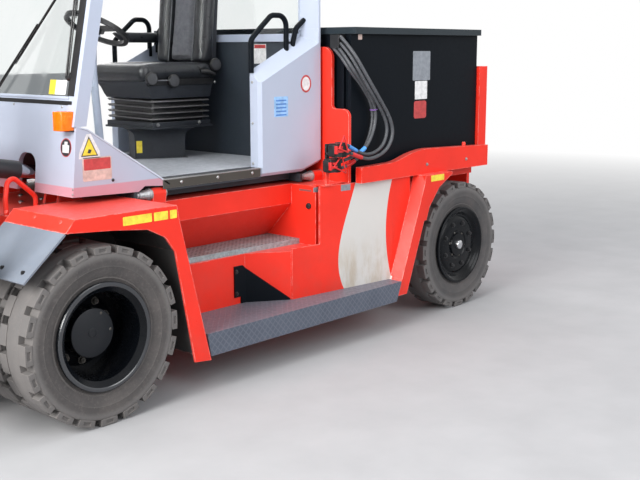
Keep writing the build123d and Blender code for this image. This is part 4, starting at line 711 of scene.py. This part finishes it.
# Rear rims: deep lip, disc near the outer face, nuts, small bolts and the bright cap
rear_rim_profile = [
    (0, 786), (95, 786), (95, 904), (212, 904), (218, 898), (218, 771), (228, 752), (240, 749.5),
    (251, 749.5), (251.5, 763), (237.5, 768.5), (237.5, 934), (251, 939), (252, 952), (246, 955), (238, 954),
    (231, 947), (222, 943), (214, 938), (207, 927), (199, 919), (190, 918), (181, 924), (168, 928), (96, 928),
    (88, 923), (78, 923), (74, 933), (40, 935), (0, 935),
]
for hand in ("left", "right"):
    shared = {"body": f"rear_wheel_{hand}", "mirrored": hand == "right"}
    rim = Pile(f"rear_rim_face_{hand}", "rim_paint", smooth=32, **shared)
    rim.turned(rear_rim_profile, REAR_HUB, LEFT, 96)
    rim.done(f"rear_rim_{hand}")
    fixings = Pile(f"rear_wheel_fixings_{hand}", "rim_paint", black_screw, **shared)
    for place in round_hub(REAR_HUB, 928, 146, 22.5, 45, 8):
        fixings.bolt(place, LEFT, 13, 11)
    fixings.use(dull_steel)
    for place in round_hub(REAR_HUB, 923, 82, 10, 60, 6):
        fixings.dome(place, LEFT, 7)
    fixings.use(finish["chrome"])
    fixings.turned([(31, 933), (31, 944), (28, 950), (20, 953.5), (0, 955)], REAR_HUB, LEFT, 40)
    fixings.done()

# Front wheels: flange with its nuts round the hub, the rim's rounded lip and the hub's plug
for hand in ("left", "right"):
    shared = {"body": f"front_wheel_{hand}", "mirrored": hand == "right"}
    hub = Pile(f"front_wheel_fixings_{hand}", "rim_paint", **shared)
    hub.turned([(116, 809), (172, 809), (172, 818), (168, 821), (126, 822), (116, 828)],
               FRONT_HUB, LEFT, 72, True)
    hub.use(lip_paint)
    hub.turned([(228, 1019), (233, 1023.5), (241, 1025.4), (249, 1024.4), (252.4, 1020), (240, 1018)],
               FRONT_HUB, LEFT, 96, True)
    hub.use(dull_steel)
    for place in round_hub(FRONT_HUB, 821, 147, 18, 36, 10):
        hub.bolt(place, LEFT, 14, 16)
    for place in round_hub(FRONT_HUB, 918, 98, 120, 60, 2):
        hub.dome(place, LEFT, 8)
    hub.use(hub_paint)
    hub.turned([(112.5, 917), (112.5, 919), (109, 921), (0, 921)], FRONT_HUB, LEFT, 72)
    hub.turned([(24, 920.5), (24, 922.5), (22, 924), (16, 924), (15, 922), (0, 922)], FRONT_HUB, LEFT, 36)
    hub.done()

# Lifting chains: leaf plates and pins along each run
CHAIN_PITCH = 25.4


def leaf_chain(name, x, low, high, replaced):
    """Two runs of leaf chain between two heights, riding on no body."""
    pile = Pile(name, "cast", dull_steel, None, smooth=30)
    for y in (-155, 155):
        for index in range(int((high - low) / CHAIN_PITCH)):
            z = low + (index + 0.5) * CHAIN_PITCH
            for leaf in range(4):
                left = y - 10.5 + leaf * 5.6
                shift = CHAIN_PITCH / 2 if leaf % 2 else 0
                outline = []
                for step in range(8):
                    angle = 2 * math.pi * (step + 0.5) / 8
                    up = 6 if math.sin(angle) > 0 else -6
                    outline.append((x + 7.4 * math.cos(angle), z + shift * 0.5 + up + 6.4 * math.sin(angle)))
                pile.plate(outline, "Y", left, left + 4.2)
            pile.turned([(3.6, -11.8), (3.6, 11.8)], (x, y, z), LEFT, 8)
    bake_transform(pile.done(replaced))


leaf_chain("lifting_chain_front", 499, 860, 2826, "chains_front")
leaf_chain("lifting_chain_rear", 349, 1292, 2826, "chains_rear")

# Coloured sleeves on the cables' ends, and the tie round the inner pair
SLEEVE_RADIUS = 12.5


def sleeve(index, look, start, length):
    """Sleeve over a cable, from a distance before its end towards its start."""
    points = list(reversed(line_points(cable_lines[index])))
    run, path = 0, []
    for a, b in zip(points, points[1:]):
        step = (b - a).length * 1000
        for share in (0, 0.25, 0.5, 0.75):
            if start <= run + share * step <= start + length:
                spot = a.lerp(b, share)
                path.append(((spot.x - FRONT_AXLE_X) * 1000, spot.y * 1000, spot.z * 1000))
        run += step
    end = SLEEVE_RADIUS - 1.2
    pile = Pile(f"cable_sleeve_{index + 1}", "cable", look, smooth=50)
    pile.tube(path, [end] + [SLEEVE_RADIUS] * (len(path) - 2) + [end], 20)
    return pile.done()


sleeves = [sleeve(0, red_plastic, 16, 96), sleeve(1, blue_plastic, 16, 78),
           sleeve(2, blue_plastic, 128, 70), sleeve(3, red_plastic, 40, 84)]

# Battery connectors: gland, two housings with latches and wire handles, their post and the strain reliefs
plugs = Pile("battery_connector_set", "black_plastic", bevel=2.5)
plugs.box((-1885, 745, 1690), (-1825, 812, 1765))
for y1, y2, z in ((922, 978, 1092), (880, 934, 1002)):
    plugs.box((-1707, y1, z), (-1618, y2, z + 76))
    for rib in range(4):
        x = -1700 + 9 * rib
        plugs.box((x, y1 - 3, z - 3), (x + 4, y2 + 3, z + 79))
    plugs.box((-1618, y1 + 6, z + 8), (-1604, y2 - 6, z + 68))
plugs.box((-1668, 868, 1000), (-1640, 880, 1160))
plugs.box((-1668, 868, 1100), (-1640, 924, 1112))
plugs.use(red)
plugs.box((-1668, 868, 920), (-1640, 880, 1000))
plugs.box((-1690, 800, 920), (-1620, 884, 928))
plugs.use(black)
for route in cable_routes:
    end_y, end_z = route[-1][1:]
    plugs.turned([(15.5, 0), (15.5, 6), (14.5, 12), (13.2, 22), (12.8, 28)], (-1705, end_y, end_z),
                 (-1, 0, 0), 20)
plugs.use(red_plastic)
for y, z in ((979, 1138), (935, 1044)):
    plugs.box((-1668, y, z - 20), (-1622, y + 7, z - 4))
    plugs.box((-1660, y, z + 2), (-1632, y + 10, z + 16))
    plugs.box((-1622, y - 40, z - 26), (-1606, y + 8, z + 18))
for corners in (((-1668, 990, 1212), (-1702, 990, 1116), (-1626, 990, 1142)),
                ((-1698, 946, 1098), (-1736, 946, 994), (-1632, 946, 1036))):
    for a, b in zip(corners, corners[1:] + corners[:1]):
        plugs.tube([a, Vector(a).lerp(Vector(b), 0.5), b], 4.6, 8)
    plugs.tube([(corners[2][0], corners[2][1] - 16, corners[2][2]), corners[2]], 4, 8)
plugs.done("battery_connectors")
tie = Pile("cable_tie", "cable", purple_plastic, smooth=50)
tie.turned([(22.5, -3), (22.5, 3), (20.8, 3), (20.8, -3)], (-2028, 906, 1337), (0.1, 0, 1), 24, True)
tie.done()


# Seat: pads blown up as cloth over a hard pan and shell
CLOTH_FRAMES = 20


def soft(name, low_ring, high_ring, look, *replaced, cap=0.012, round_by=0.028):
    """Padded piece: a rounded block blown up as cloth, no point moved by more than the cap."""
    pile = Pile(name, "fabric", look, smooth=180)
    pile.solid([low_ring, high_ring])
    piece = pile.done(*replaced)
    rounding = piece.modifiers.new("rounding", "BEVEL")
    rounding.width = round_by
    rounding.segments = 5
    rounding.limit_method = "NONE"
    voxels = piece.modifiers.new("voxels", "REMESH")
    voxels.mode = "VOXEL"
    voxels.voxel_size = 0.009
    bpy.context.view_layer.update()
    graph = bpy.context.evaluated_depsgraph_get()
    fine = bpy.data.meshes.new_from_object(piece.evaluated_get(graph), depsgraph=graph)
    piece.modifiers.clear()
    piece.data = fine
    before = [vertex.co.copy() for vertex in fine.vertices]
    cloth = piece.modifiers.new("cloth", "CLOTH")
    cloth.settings.use_pressure = True
    cloth.settings.uniform_pressure_force = 4
    cloth.settings.effector_weights.gravity = 0
    for number in range(1, CLOTH_FRAMES + 1):
        bpy.context.scene.frame_set(number)
    graph = bpy.context.evaluated_depsgraph_get()
    blown = bpy.data.meshes.new_from_object(piece.evaluated_get(graph), depsgraph=graph)
    piece.modifiers.clear()
    for vertex, start, end in zip(fine.vertices, before, [v.co.copy() for v in blown.vertices]):
        move = end - start
        vertex.co = start + move * min(1, cap / max(move.length, 1e-6))
    bpy.data.meshes.remove(blown)
    bpy.context.scene.frame_set(1)
    fine.shade_smooth()
    even = piece.modifiers.new("even", "SUBSURF")
    even.levels = even.render_levels = 1


vinyl = finish["fabric"]
for name, low, high, look, replaced, sizes in (
    ("pad", (-1596, -1096, -402, -98, 1505), (-1590, -1100, -398, -102, 1592), seat_grey, (), {}),
    ("bolster_left", (-1606, -1082, -112, -6, 1500), (-1600, -1090, -122, -12, 1604), vinyl,
     ("seat_cushion",), {"round_by": 0.036}),
    ("bolster_right", (-1606, -1082, -494, -388, 1500), (-1600, -1090, -488, -378, 1604), vinyl,
     (), {"round_by": 0.036}),
    ("front_roll", (-1150, -1052, -496, -4, 1500), (-1146, -1060, -490, -10, 1602), vinyl,
     (), {"round_by": 0.040}),
    ("back_pad", (-1618, -1550, -362, -142, 1606), (-1684, -1614, -358, -144, 2184), seat_grey, (), {}),
    ("back_bolster_left", (-1630, -1532, -140, -32, 1606), (-1694, -1594, -142, -34, 2190), vinyl,
     ("seat_back",), {}),
    ("back_bolster_right", (-1630, -1530, -474, -366, 1606), (-1694, -1592, -488, -360, 2190), vinyl, (), {}),
    ("armrest", (-1596, -1330, -562, -516, 1726), (-1600, -1246, -562, -516, 1790), vinyl,
     (), {"round_by": 0.016, "cap": 0.005}),
):
    soft(f"seat_{name}", block(*low), block(*high), look, *replaced, **sizes)

# Seat's stand: turned pedestal, pan, shell and the armrest's bracket
PEDESTAL = Vector((-1330, -235, 0))
pedestal_turn = math.radians(-30)
pedestal_along = Vector((math.cos(pedestal_turn), math.sin(pedestal_turn), 0))
pedestal_out = Vector((-math.sin(pedestal_turn), math.cos(pedestal_turn), 0))


def turned_ring(z, width, depth):
    """Ring of the pedestal, turned about its own upright line."""
    c, s = math.cos(pedestal_turn), math.sin(pedestal_turn)
    return [(PEDESTAL.x + a * c - b * s, PEDESTAL.y + a * s + b * c, z)
            for a, b in ((-width, -depth), (width, -depth), (width, depth), (-width, depth))]


stand = Pile("seat_stand", "interior", smooth=32, bevel=2)
stand.solid([turned_ring(*ring) for ring in ((1042, 150, 138), (1140, 150, 138), (1180, 153, 140),
                                             (1196, 161, 146), (1210, 178, 156), (1222, 205, 172))])
stand.solid([turned_ring(z, 165, 150) for z in (1038, 1046)])
stand.box((-1600, -478, 1222), (-1132, -22, 1234))
stand.box((-1590, -470, 1234), (-1142, -30, 1262))
pan = [(1400, -16), (1424, 0), (1462, 18), (1492, 40), (1506, 44)]
stand.solid([block(-1594 - 0.25 * out, -1128 + out, -474 - 0.3 * out, -26 + 0.3 * out, z) for z, out in pan])
stand.solid([block(-1655, -1612, -452, -48, 1560), block(-1716, -1676, -440, -60, 2186)])
stand.box((-1650, -522, 1744), (-1596, -440, 1776))
stand.done("seat_base")

# Bellows under the pan: four folds with round corners that sag a little
FOLD_PITCH, CORNER = 34, 12
folds = Pile("seat_bellows", "rubber", black, smooth=50)
rings = []
for rib in range(4):
    z = 1264 + FOLD_PITCH * rib
    for rise, inset in ((0, 30), (14, 28), (18, 5), (21, 3), (24, 5), (28, 28)):
        ring = []
        for cx, cy, first in ((-1142 - inset, -32 - inset, 0), (-1590 + inset, -32 - inset, 90),
                              (-1590 + inset, -468 + inset, 180), (-1142 - inset, -468 + inset, 270)):
            sag = 5 * math.sin(3 * cx + cy) * (1 if inset < 5 else 0.3)
            middle_x = cx - CORNER * (1 if cx > -1300 else -1)
            middle_y = cy - CORNER * (1 if cy > -200 else -1)
            for angle in (math.radians(first + 22.5 * step) for step in range(5)):
                ring.append((middle_x + CORNER * math.cos(angle), middle_y + CORNER * math.sin(angle),
                             z + rise + sag))
        rings.append(ring)
folds.solid(rings)
# Tubes round each fold in lighter rubber: a painted highlight along the folds.
folds.use(bellows_rim_highlight)
for rib in range(4):
    ring = [Vector(point) for point in rings[6 * rib + 3]]
    folds.tube(ring[-3:] + ring + ring[:3], 4, 8)
folds.done()

# Seat's knobs, rail, screws, seams and the small label on its pedestal
controls = Pile("seat_controls", "black_plastic", smooth=35, bevel=1)
knob_way = (0.15, 1, 0)
for place in ((-1118, -12, 1517), (-1281, -12, 1502), (-1622, -24, 1592)):
    controls.use(black)
    controls.turned([(14, -14), (14, 0), (38, 3), (41, 8), (40, 22), (35, 27), (0, 27.5)],
                    place, knob_way, 10)
    controls.use(knob_grey)
    controls.turned([(32, 27), (32, 29), (0, 29.5)], place, knob_way, 28)
controls.use(black)
controls.box((-1600, -22, 1478), (-1100, -8, 1512))
controls.tube([(-1500, -10, 1556), (-1540, 14, 1552), (-1590, 20, 1536)], [13, 14, 10], 14)
controls.tube([(-1505, -14, 1562), (-1505, 6, 1562)], 16, 16)
controls.use(steel)
for x in (-1105, -1612):
    controls.dome((x, -8, 1488), LEFT, 9)
for x in (-1180, -1500):
    controls.bolt((x, -30, 1248), LEFT, 9, 7)
controls.use(seam)
controls.tube([(-1100, -1.5, 1506), (-1290, -1.5, 1506)], 3.5, 8)
for low_y, high_y in ((-364, -359), (-141, -143)):
    controls.tube([(-1546, low_y, 1612), (-1570, (low_y + high_y) / 2, 1820), (-1610, high_y, 2184)], 3.5, 8)
controls.use(label_yellow)
controls.solid([[PEDESTAL + pedestal_along * a + pedestal_out * (138.6 + out) + Vector((0, 0, z))
                 for a, z in ((142, 1076), (108, 1076), (108, 1148), (142, 1148))] for out in (0, 0.8)])
controls.done()

# Stickers and plates, left bare, a fraction of a millimetre proud of the surface that carries them
stickers = Pile("stickers", "cab_paint", label_white, smooth=20)


def side_sticker(look, y, outline, thick=0.7):
    stickers.use(look)
    stickers.plate(outline, "Y", y, y + thick)


def rounded(x1, z1, x2, z2, radius=6):
    """Rectangle with round corners, in x and height."""
    low_x, high_x, low_z, high_z = min(x1, x2), max(x1, x2), min(z1, z2), max(z1, z2)
    points = []
    for cx, cz, first in ((high_x - radius, high_z - radius, 0), (low_x + radius, high_z - radius, 90),
                          (low_x + radius, low_z + radius, 180), (high_x - radius, low_z + radius, 270)):
        for step in range(4):
            angle = math.radians(first + 30 * step)
            points.append((cx + radius * math.cos(angle), cz + radius * math.sin(angle)))
    return points


def oval(x, z, wide, high):
    angles = [math.radians(12 * step) for step in range(30)]
    return [(x + wide * math.cos(a), z + high * math.sin(a)) for a in angles]


def side_labels(pile):
    """Fender, panel, cab and battery labels of one side."""
    for x1, x2 in ((-113, -276), (-289, -371), (-383, -424)):
        side_sticker(label_yellow, FENDER_SIDE, rounded(x1, 946, x2, 906, 4))
    side_sticker(label_yellow, REAR_PANEL_SIDE, rounded(-2483, 914, -2620, 876, 4))
    for look, rise, outline in (
        (label_white, 0, [(-132, 1180), (-254, 1180), (-250, 1212), (-204, 1294), (-180, 1294),
                          (-136, 1212)]),
        (label_dark, 0.6, [(-144, 1190), (-240, 1190), (-192, 1283)]),
        (label_yellow, 1.2, [(-152, 1195), (-232, 1195), (-192, 1273)]),
        (label_dark, 1.8, [(-180, 1206), (-196, 1203), (-204, 1219), (-188, 1224)]),
    ):
        side_sticker(look, CAB_SIDE + rise, outline)
    # Pale strip along the cab's folded edge: a painted highlight.
    side_sticker(fold_highlight_paint, 652, [(-664, 1009), (-606, 1050), (-187, 1311), (-143, 1324), (-143, 1330),
                                   (-188, 1318), (-609, 1057), (-672, 1013)], 30.5)
    side_sticker(label_beige, CAB_SIDE, rounded(-150, 1184, -316, 1072, 8))
    side_sticker(label_red, CAB_SIDE + 0.6, rounded(-158, 1178, -310, 1124, 5))
    side_sticker(label_blue, CAB_SIDE, rounded(-1430, 1424, -1541, 1312, 5))
    for row in range(5):
        z = 1406 - 20 * row
        side_sticker(label_line, CAB_SIDE + 0.6, rounded(-1444, z, -1527, z - 8, 3))
    side_sticker(label_red, CAB_SIDE, oval(-1690, 1490, 44, 50))
    side_sticker(label_white, CAB_SIDE + 0.6, oval(-1690, 1490, 33, 39))
    for look, outline in (
        (label_grey, (-2450, 1672, -2628, 1494, 6)), (label_white, (-2474, 1490, -2600, 1378, 4)),
        (label_red, (-2466, 1368, -2594, 1260, 16)), (label_beige, (-1926, 1768, -1962, 1738, 5)),
    ):
        side_sticker(look, BATTERY_SIDE, rounded(*outline))


both_sides(stickers, side_labels)
stickers.use(label_white)
stickers.plate([(234, 1715), (336, 1715), (336, 1600), (234, 1600)], "X", -1715, -1714)
stickers.use(label_red)
stickers.plate([(238, 1711), (332, 1711), (332, 1690), (238, 1690)], "X", -1714.2, -1713.4)
stickers.done()

# Round sticker on the front panel, a plate in the screen's corner
front_signs = Pile("front_signs", "cab_paint", label_red, smooth=20)
SIGN = Vector((-114.8, 606, 1231))
panel_out = Vector((0.994, 0, 0.105)).normalized()
panel_up = Vector((-0.105, 0, 0.994))
front_signs.turned([(44, 0), (44, 0.6), (0, 0.6)], SIGN, panel_out, 40)
front_signs.use(label_dark)
front_signs.turned([(40, 0.6), (40, 1.1), (0, 1.1)], SIGN, panel_out, 40)
front_signs.use(label_white)
for wide, low, high in ((26, -24, 12), (12, 12, 28)):
    front_signs.solid([[SIGN + Vector((0, y, 0)) + panel_up * z + panel_out * out
                        for y, z in ((-wide, low), (wide, low), (wide, high), (-wide, high))]
                       for out in (1.1, 1.6)])

SCREEN_FOOT = (-147.5, 1449)
SCREEN_SLOPE = 0.2126
SCREEN_OUT = (0.978, 0, 0.208)


def on_screen(y, z, out=0):
    """Point on the windscreen's outer face, or some way out from it."""
    x = SCREEN_FOOT[0] - (z - SCREEN_FOOT[1]) * SCREEN_SLOPE
    return (x + SCREEN_OUT[0] * out, y, z + SCREEN_OUT[2] * out)


for look, y1, y2 in ((label_yellow, 427, 478), (label_white, 478, 566)):
    front_signs.use(look)
    front_signs.solid([[on_screen(y, z, out) for y, z in ((y1, 1474), (y2, 1474), (y2, 1542), (y1, 1542))]
                       for out in (0.3, 1)])
front_signs.done()

# Wipers: two arms each, a blade with its spring and the spindle's cap
wipers = Pile("wipers", "black_plastic")
for base, tip, blade in (((-40, 1440), (290, 1800), 260), ((592, 1556), (566, 2060), 240)):
    for offset, size in ((0, 5.5), (16, 3.5)):
        a = Vector(on_screen(base[0] + offset, base[1], 26))
        b = Vector(on_screen(tip[0] + offset, tip[1], 24))
        wipers.tube([a, a.lerp(b, 0.5), b], [size, size * 0.8, size * 0.7], 10)
    reach = (Vector(on_screen(*tip)) - Vector(on_screen(*base))).normalized() * blade
    middle = Vector(on_screen(*tip, 14))
    wipers.tube([middle - reach, middle - reach * 0.5, middle + reach * 0.5, middle + reach], [3, 5, 5, 3], 8)
    spring = middle - Vector((8, 0, 0))
    wipers.tube([spring - reach, spring + reach], 2, 6)
    wipers.turned([(20, 0), (20, 10), (14, 18), (0, 19)], on_screen(*base, 6), SCREEN_OUT, 24)
wipers.done()

# Steering column: hub under the wheel, bent tube, foot and the stalk
COLUMN_LEAN = math.radians(28)
down = Vector((math.sin(COLUMN_LEAN), 0, -math.cos(COLUMN_LEAN)))
top = Vector((-930, -250, 1790))
column = Pile("steering_column_tube", "interior", smooth=50)
column.tube([top + down * 4, top + down * 34, top + down * 62], [28, 31, 26], 28)
column.use(finish["cab_paint"])
column.tube([top + down * 60, (-896, -250, 1560), (-926, -250, 1120)], [22, 22, 24], 24)
column.tube([(-924, -250, 1140), (-918, -250, 1080), (-910, -250, 1040)], [26, 34, 46], 24)
column.tube([top + down * 40 + Vector((0, 20, 0)), top + down * 36 + Vector((0, 54, 2))], [8, 6], 12)
column.done("steering_column")

# Amber lenses with a dark foot, wrapped a little round the corner
lenses = Pile("indicator_lenses", "lamp", smooth=30, bevel=5)


def lens(pile):
    pile.use(finish["lamp"])
    pile.plate([(-126, 590), (-62, 590), (-56, 596), (-56, 634), (-66, 654), (-88, 664), (-126, 664)],
               "Z", 1312, 1401)
    pile.use(black)
    pile.plate([(-128, 586), (-100, 586), (-100, 667), (-128, 667)], "Z", 1307, 1314)


both_sides(lenses, lens)
lenses.done("indicators")

# Windscreen's rubber seals and the rounded rail along its foot
seals = Pile("screen_seals", "rubber", black, smooth=50)
for side in (-1, 1):
    ends = [[on_screen(side * y, z, out) for y, out in ((602, 0.3), (602, 13.5), (650, 13.5), (650, 0.3))]
            for z in (1468, 2560)]
    seals.solid(ends)
    seals.tube([on_screen(side * 606, z, 4) for z in (1468, 1800, 2200, 2560)], 6, 10)
seals.plate([(-640, 1428), (640, 1428), (640, 1447), (-640, 1447)], "X", -136.5, -133.5)
seals.use(finish["cab_paint"])
seals.tube([on_screen(-612, 1458, 4), on_screen(0, 1458, 5), on_screen(612, 1458, 4)], 9, 14)
seals.done()

# Floor mat, sill strip and the fixings along it
mat = Pile("cab_floor_mat", "interior", pale_floor, smooth=25, bevel=1.5)
mat.box((-1700, -598, 1038), (-520, 598, 1042))
mat.done()
trim = Pile("sill_strips", "galvanised", dull_steel, smooth=25, bevel=1)


def sill(pile):
    pile.use(dull_steel)
    pile.plate([(-626, 990), (-1316, 990), (-1316, 1037), (-626, 1037)], "Y", CAB_SIDE, CAB_SIDE + 2.5)
    pile.use(steel)
    pile.plate([(-626, 1034), (-1316, 1034), (-1316, 1040), (-626, 1040)], "Y", 664, CAB_SIDE + 3.5)
    for x in (-746, -997, -1252):
        pile.dome((x, CAB_SIDE + 2.5, 1016), LEFT, 9)


both_sides(trim, sill)
trim.done()

# Small fixings on the chassis and the cab
fixings = Pile("body_fixings", "galvanised", dull_steel)


def side_fixings(pile):
    """Screws of the cheek, step bracket, cabinet, gate, flap and fender, and the gate's knob."""
    pile.use(black_screw)
    pile.dome((-321, CAB_SIDE, 1065), LEFT, 8)
    for z in (484, 360):
        pile.bolt((-1110, 693, z), LEFT, 10, 7)
    pile.use(steel)
    for z in (1506, 1281, 1058):
        pile.dome((-1318, 623, z), AHEAD, 8)
    for x in (-2504, -2934):
        pile.bolt((x, 950, 979), LEFT, 8, 6)
    pile.use(red)
    pile.turned([(12, 0), (12, 22), (9, 27), (0, 28)], (-2935, 928, 1062), UP, 20)
    pile.use(black_screw)
    for y in (960, 798):
        pile.bolt((363, y, 761), (0.65, 0, 0.76), 8, 6)
    pile.use(red)
    for y in (505, 737, 942):
        pile.dome((155, y, 947.5), (0.73, 0, 0.68), 9)


def mounts(pile):
    """Washers and nuts of the cab's pivots, two type plates and the parts beside the rear mount."""
    for tip, front, rear, z in ((-464, -564, -647, 969), (-1657, -1760, -1836, 952)):
        pile.use(steel)
        pile.turned([(32.5, 0), (32.5, 4), (20, 4), (20, 0)], (front + 0.5, 650, z), AHEAD, 32, True)
        pile.turned([(33, 0), (33, 4), (0, 4)], (rear - 0.5, 650, z), (-1, 0, 0), 32)
        pile.use(zinc)
        pile.turned([(19, 0), (19, 5), (15.5, 5.5), (15.5, 17), (12, 19), (0, 19)],
                    (tip - 30, 650, z), AHEAD, 24)
    pile.use(label_grey)
    pile.plate([(-1586, 914), (-1632, 914), (-1632, 886), (-1586, 886)], "Y", 830, 830.8)
    corners = [(-1768, 916), (-1842, 916), (-1842, 880), (-1768, 880)]
    pile.solid([[(x, 884.2 - 0.1111 * (x + 1808) + lift, z) for x, z in corners] for lift in (0, 0.9)])
    pile.use(black_screw)
    pile.turned([(17, 0), (17, 9), (13, 14), (0, 15)], (-1606, 779, 802), AHEAD, 24)
    pile.use(steel)
    pile.box((-1606, 704, 885), (-1604, 798, 896))


both_sides(fixings, side_fixings)
both_sides(fixings, mounts)
for side in (-1, 1):
    for x, y in ((-162, 114), (-293, 102)):
        fixings.dome((x, side * y, 920), UP, 14)
for place in ((-95.5, 676, 1040), (-93, 676, 1017), *((-134.5, y, 1418) for y in (145, 560, -145, -560))):
    fixings.dome(place, (0.99, 0, 0.13), 6)
fixings.done()

# Battery cells under the lid: forty covers with filler caps, poles and lead links
CELL_ROWS, CELLS_ACROSS = 5, 8
CELL_LENGTH, CELL_WIDTH = 224, 205
FIRST_CELL = (-2062, -717.5)
CELL_TOP = 1778
LINK_Z = CELL_TOP + 9
POLE_X, POLE_Y = 62, 60
cells = Pile("battery_cells", "battery_paint", label_dark, smooth=30)
for row in range(CELL_ROWS):
    x = FIRST_CELL[0] - CELL_LENGTH * row
    for place in range(CELLS_ACROSS):
        y = FIRST_CELL[1] + CELL_WIDTH * place
        cells.use(cell_grey)
        cells.solid([block(x - long, x + long, y - wide, y + wide, z)
                     for long, wide, z in ((109, 99, 1770.2), (109, 99, 1775), (105, 95, CELL_TOP))])
        cells.use(label_yellow)
        cells.turned([(24, 0), (24, 9), (20, 13), (0, 14)], (x, y, CELL_TOP), UP, 16)
        cells.use(dull_steel)
        for pole in (-POLE_Y, POLE_Y):
            cells.turned([(15, 0), (15, 6), (10, 9), (0, 9)], (x + POLE_X, y + pole, CELL_TOP), UP, 14)
        if place < CELLS_ACROSS - 1:
            cells.use(black)
            cells.tube([(x + POLE_X, y + POLE_Y, LINK_Z), (x + POLE_X, y + 102, LINK_Z + 4),
                        (x + POLE_X, y + CELL_WIDTH - POLE_Y, LINK_Z)], 8, 10)
    if row < CELL_ROWS - 1:
        end = FIRST_CELL[1] + (CELL_WIDTH * (CELLS_ACROSS - 1) + POLE_Y if row % 2 == 0 else -POLE_Y)
        cells.tube([(x + POLE_X, end, LINK_Z), (x + POLE_X - CELL_LENGTH / 2, end, LINK_Z + 5),
                    (x + POLE_X - CELL_LENGTH, end, LINK_Z)], 7, 10)
cells.done()

# Stage and light
FLOOR_HALF = 60
floor_mesh = bpy.data.meshes.new("floor")
floor_mesh.from_pydata(block(-FLOOR_HALF, FLOOR_HALF, -FLOOR_HALF, FLOOR_HALF, 0), [], [(0, 1, 2, 3)])
floor = bpy.data.objects.new("floor", floor_mesh)
bpy.context.scene.collection.objects.link(floor)
floor_material, tree, shader = material("pale floor", 0.85)
shade = blended(tree, patches(tree, coords(tree), (3, 8), 0.3, 0.7), (0.37, 0.37, 0.38), (0.41, 0.41, 0.42))
tree.links.new(shade, shader.inputs["Base Color"])
x, y, z = axes(tree)
away = spread(tree, plus(tree, times(tree, x, x), times(tree, y, y)), 20, 150)
seen = node(tree, "ShaderNodeLightPath").outputs["Is Camera Ray"]
glow = node(tree, "ShaderNodeEmission", {"Color": (1, 1, 1, 1), "Strength": 1})
fading = node(tree, "ShaderNodeMixShader", {0: times(tree, away, seen), 1: shader.outputs[0],
                                            2: glow.outputs[0]})
tree.links.new(fading.outputs[0], tree.nodes["Material Output"].inputs[0])
floor_mesh.materials.append(floor_material)

world = bpy.data.worlds.new("world")
bpy.context.scene.world = world
world.use_nodes = True
tree = world.node_tree
tree.nodes.clear()
path = node(tree, "ShaderNodeLightPath").outputs
seen = maths(tree, "MAXIMUM", path["Is Camera Ray"], path["Is Transmission Ray"])
seen = maths(tree, "MAXIMUM", seen, path["Is Glossy Ray"])
sky = node(tree, "ShaderNodeBackground", {"Color": (0.93, 0.96, 1, 1), "Strength": 0.62})
white = node(tree, "ShaderNodeBackground", {"Color": (1, 1, 1, 1), "Strength": 1})
either = node(tree, "ShaderNodeMixShader", {0: seen, 1: sky.outputs[0], 2: white.outputs[0]})
tree.links.new(either.outputs[0], node(tree, "ShaderNodeOutputWorld").inputs[0])


def area_light(name, place, target, size, power, colour=(1, 1, 1)):
    """Round soft light that looks at a target."""
    data = bpy.data.lights.new(name, "AREA")
    data.shape = "DISK"
    data.size = size
    data.energy = power
    data.color = colour
    lamp = bpy.data.objects.new(name, data)
    bpy.context.scene.collection.objects.link(lamp)
    lamp.location = place
    lamp.rotation_euler = (Vector(target) - Vector(place)).to_track_quat("-Z", "Y").to_euler()


area_light("key", (8.5, 1.8, 4.6), (-0.2, 0, 0.8), 6, 1450, (1, 0.99, 0.97))
area_light("side", (-1.5, 8.5, 5), (-1, 0, 0.8), 6, 360, (0.97, 0.98, 1))
area_light("top", (0, 0, 9), (0, 0, 0), 8, 300)
area_light("back", (-5, -8, 6), (0, 0, 1), 6, 300)

bpy.context.scene.view_settings.view_transform = "Standard"
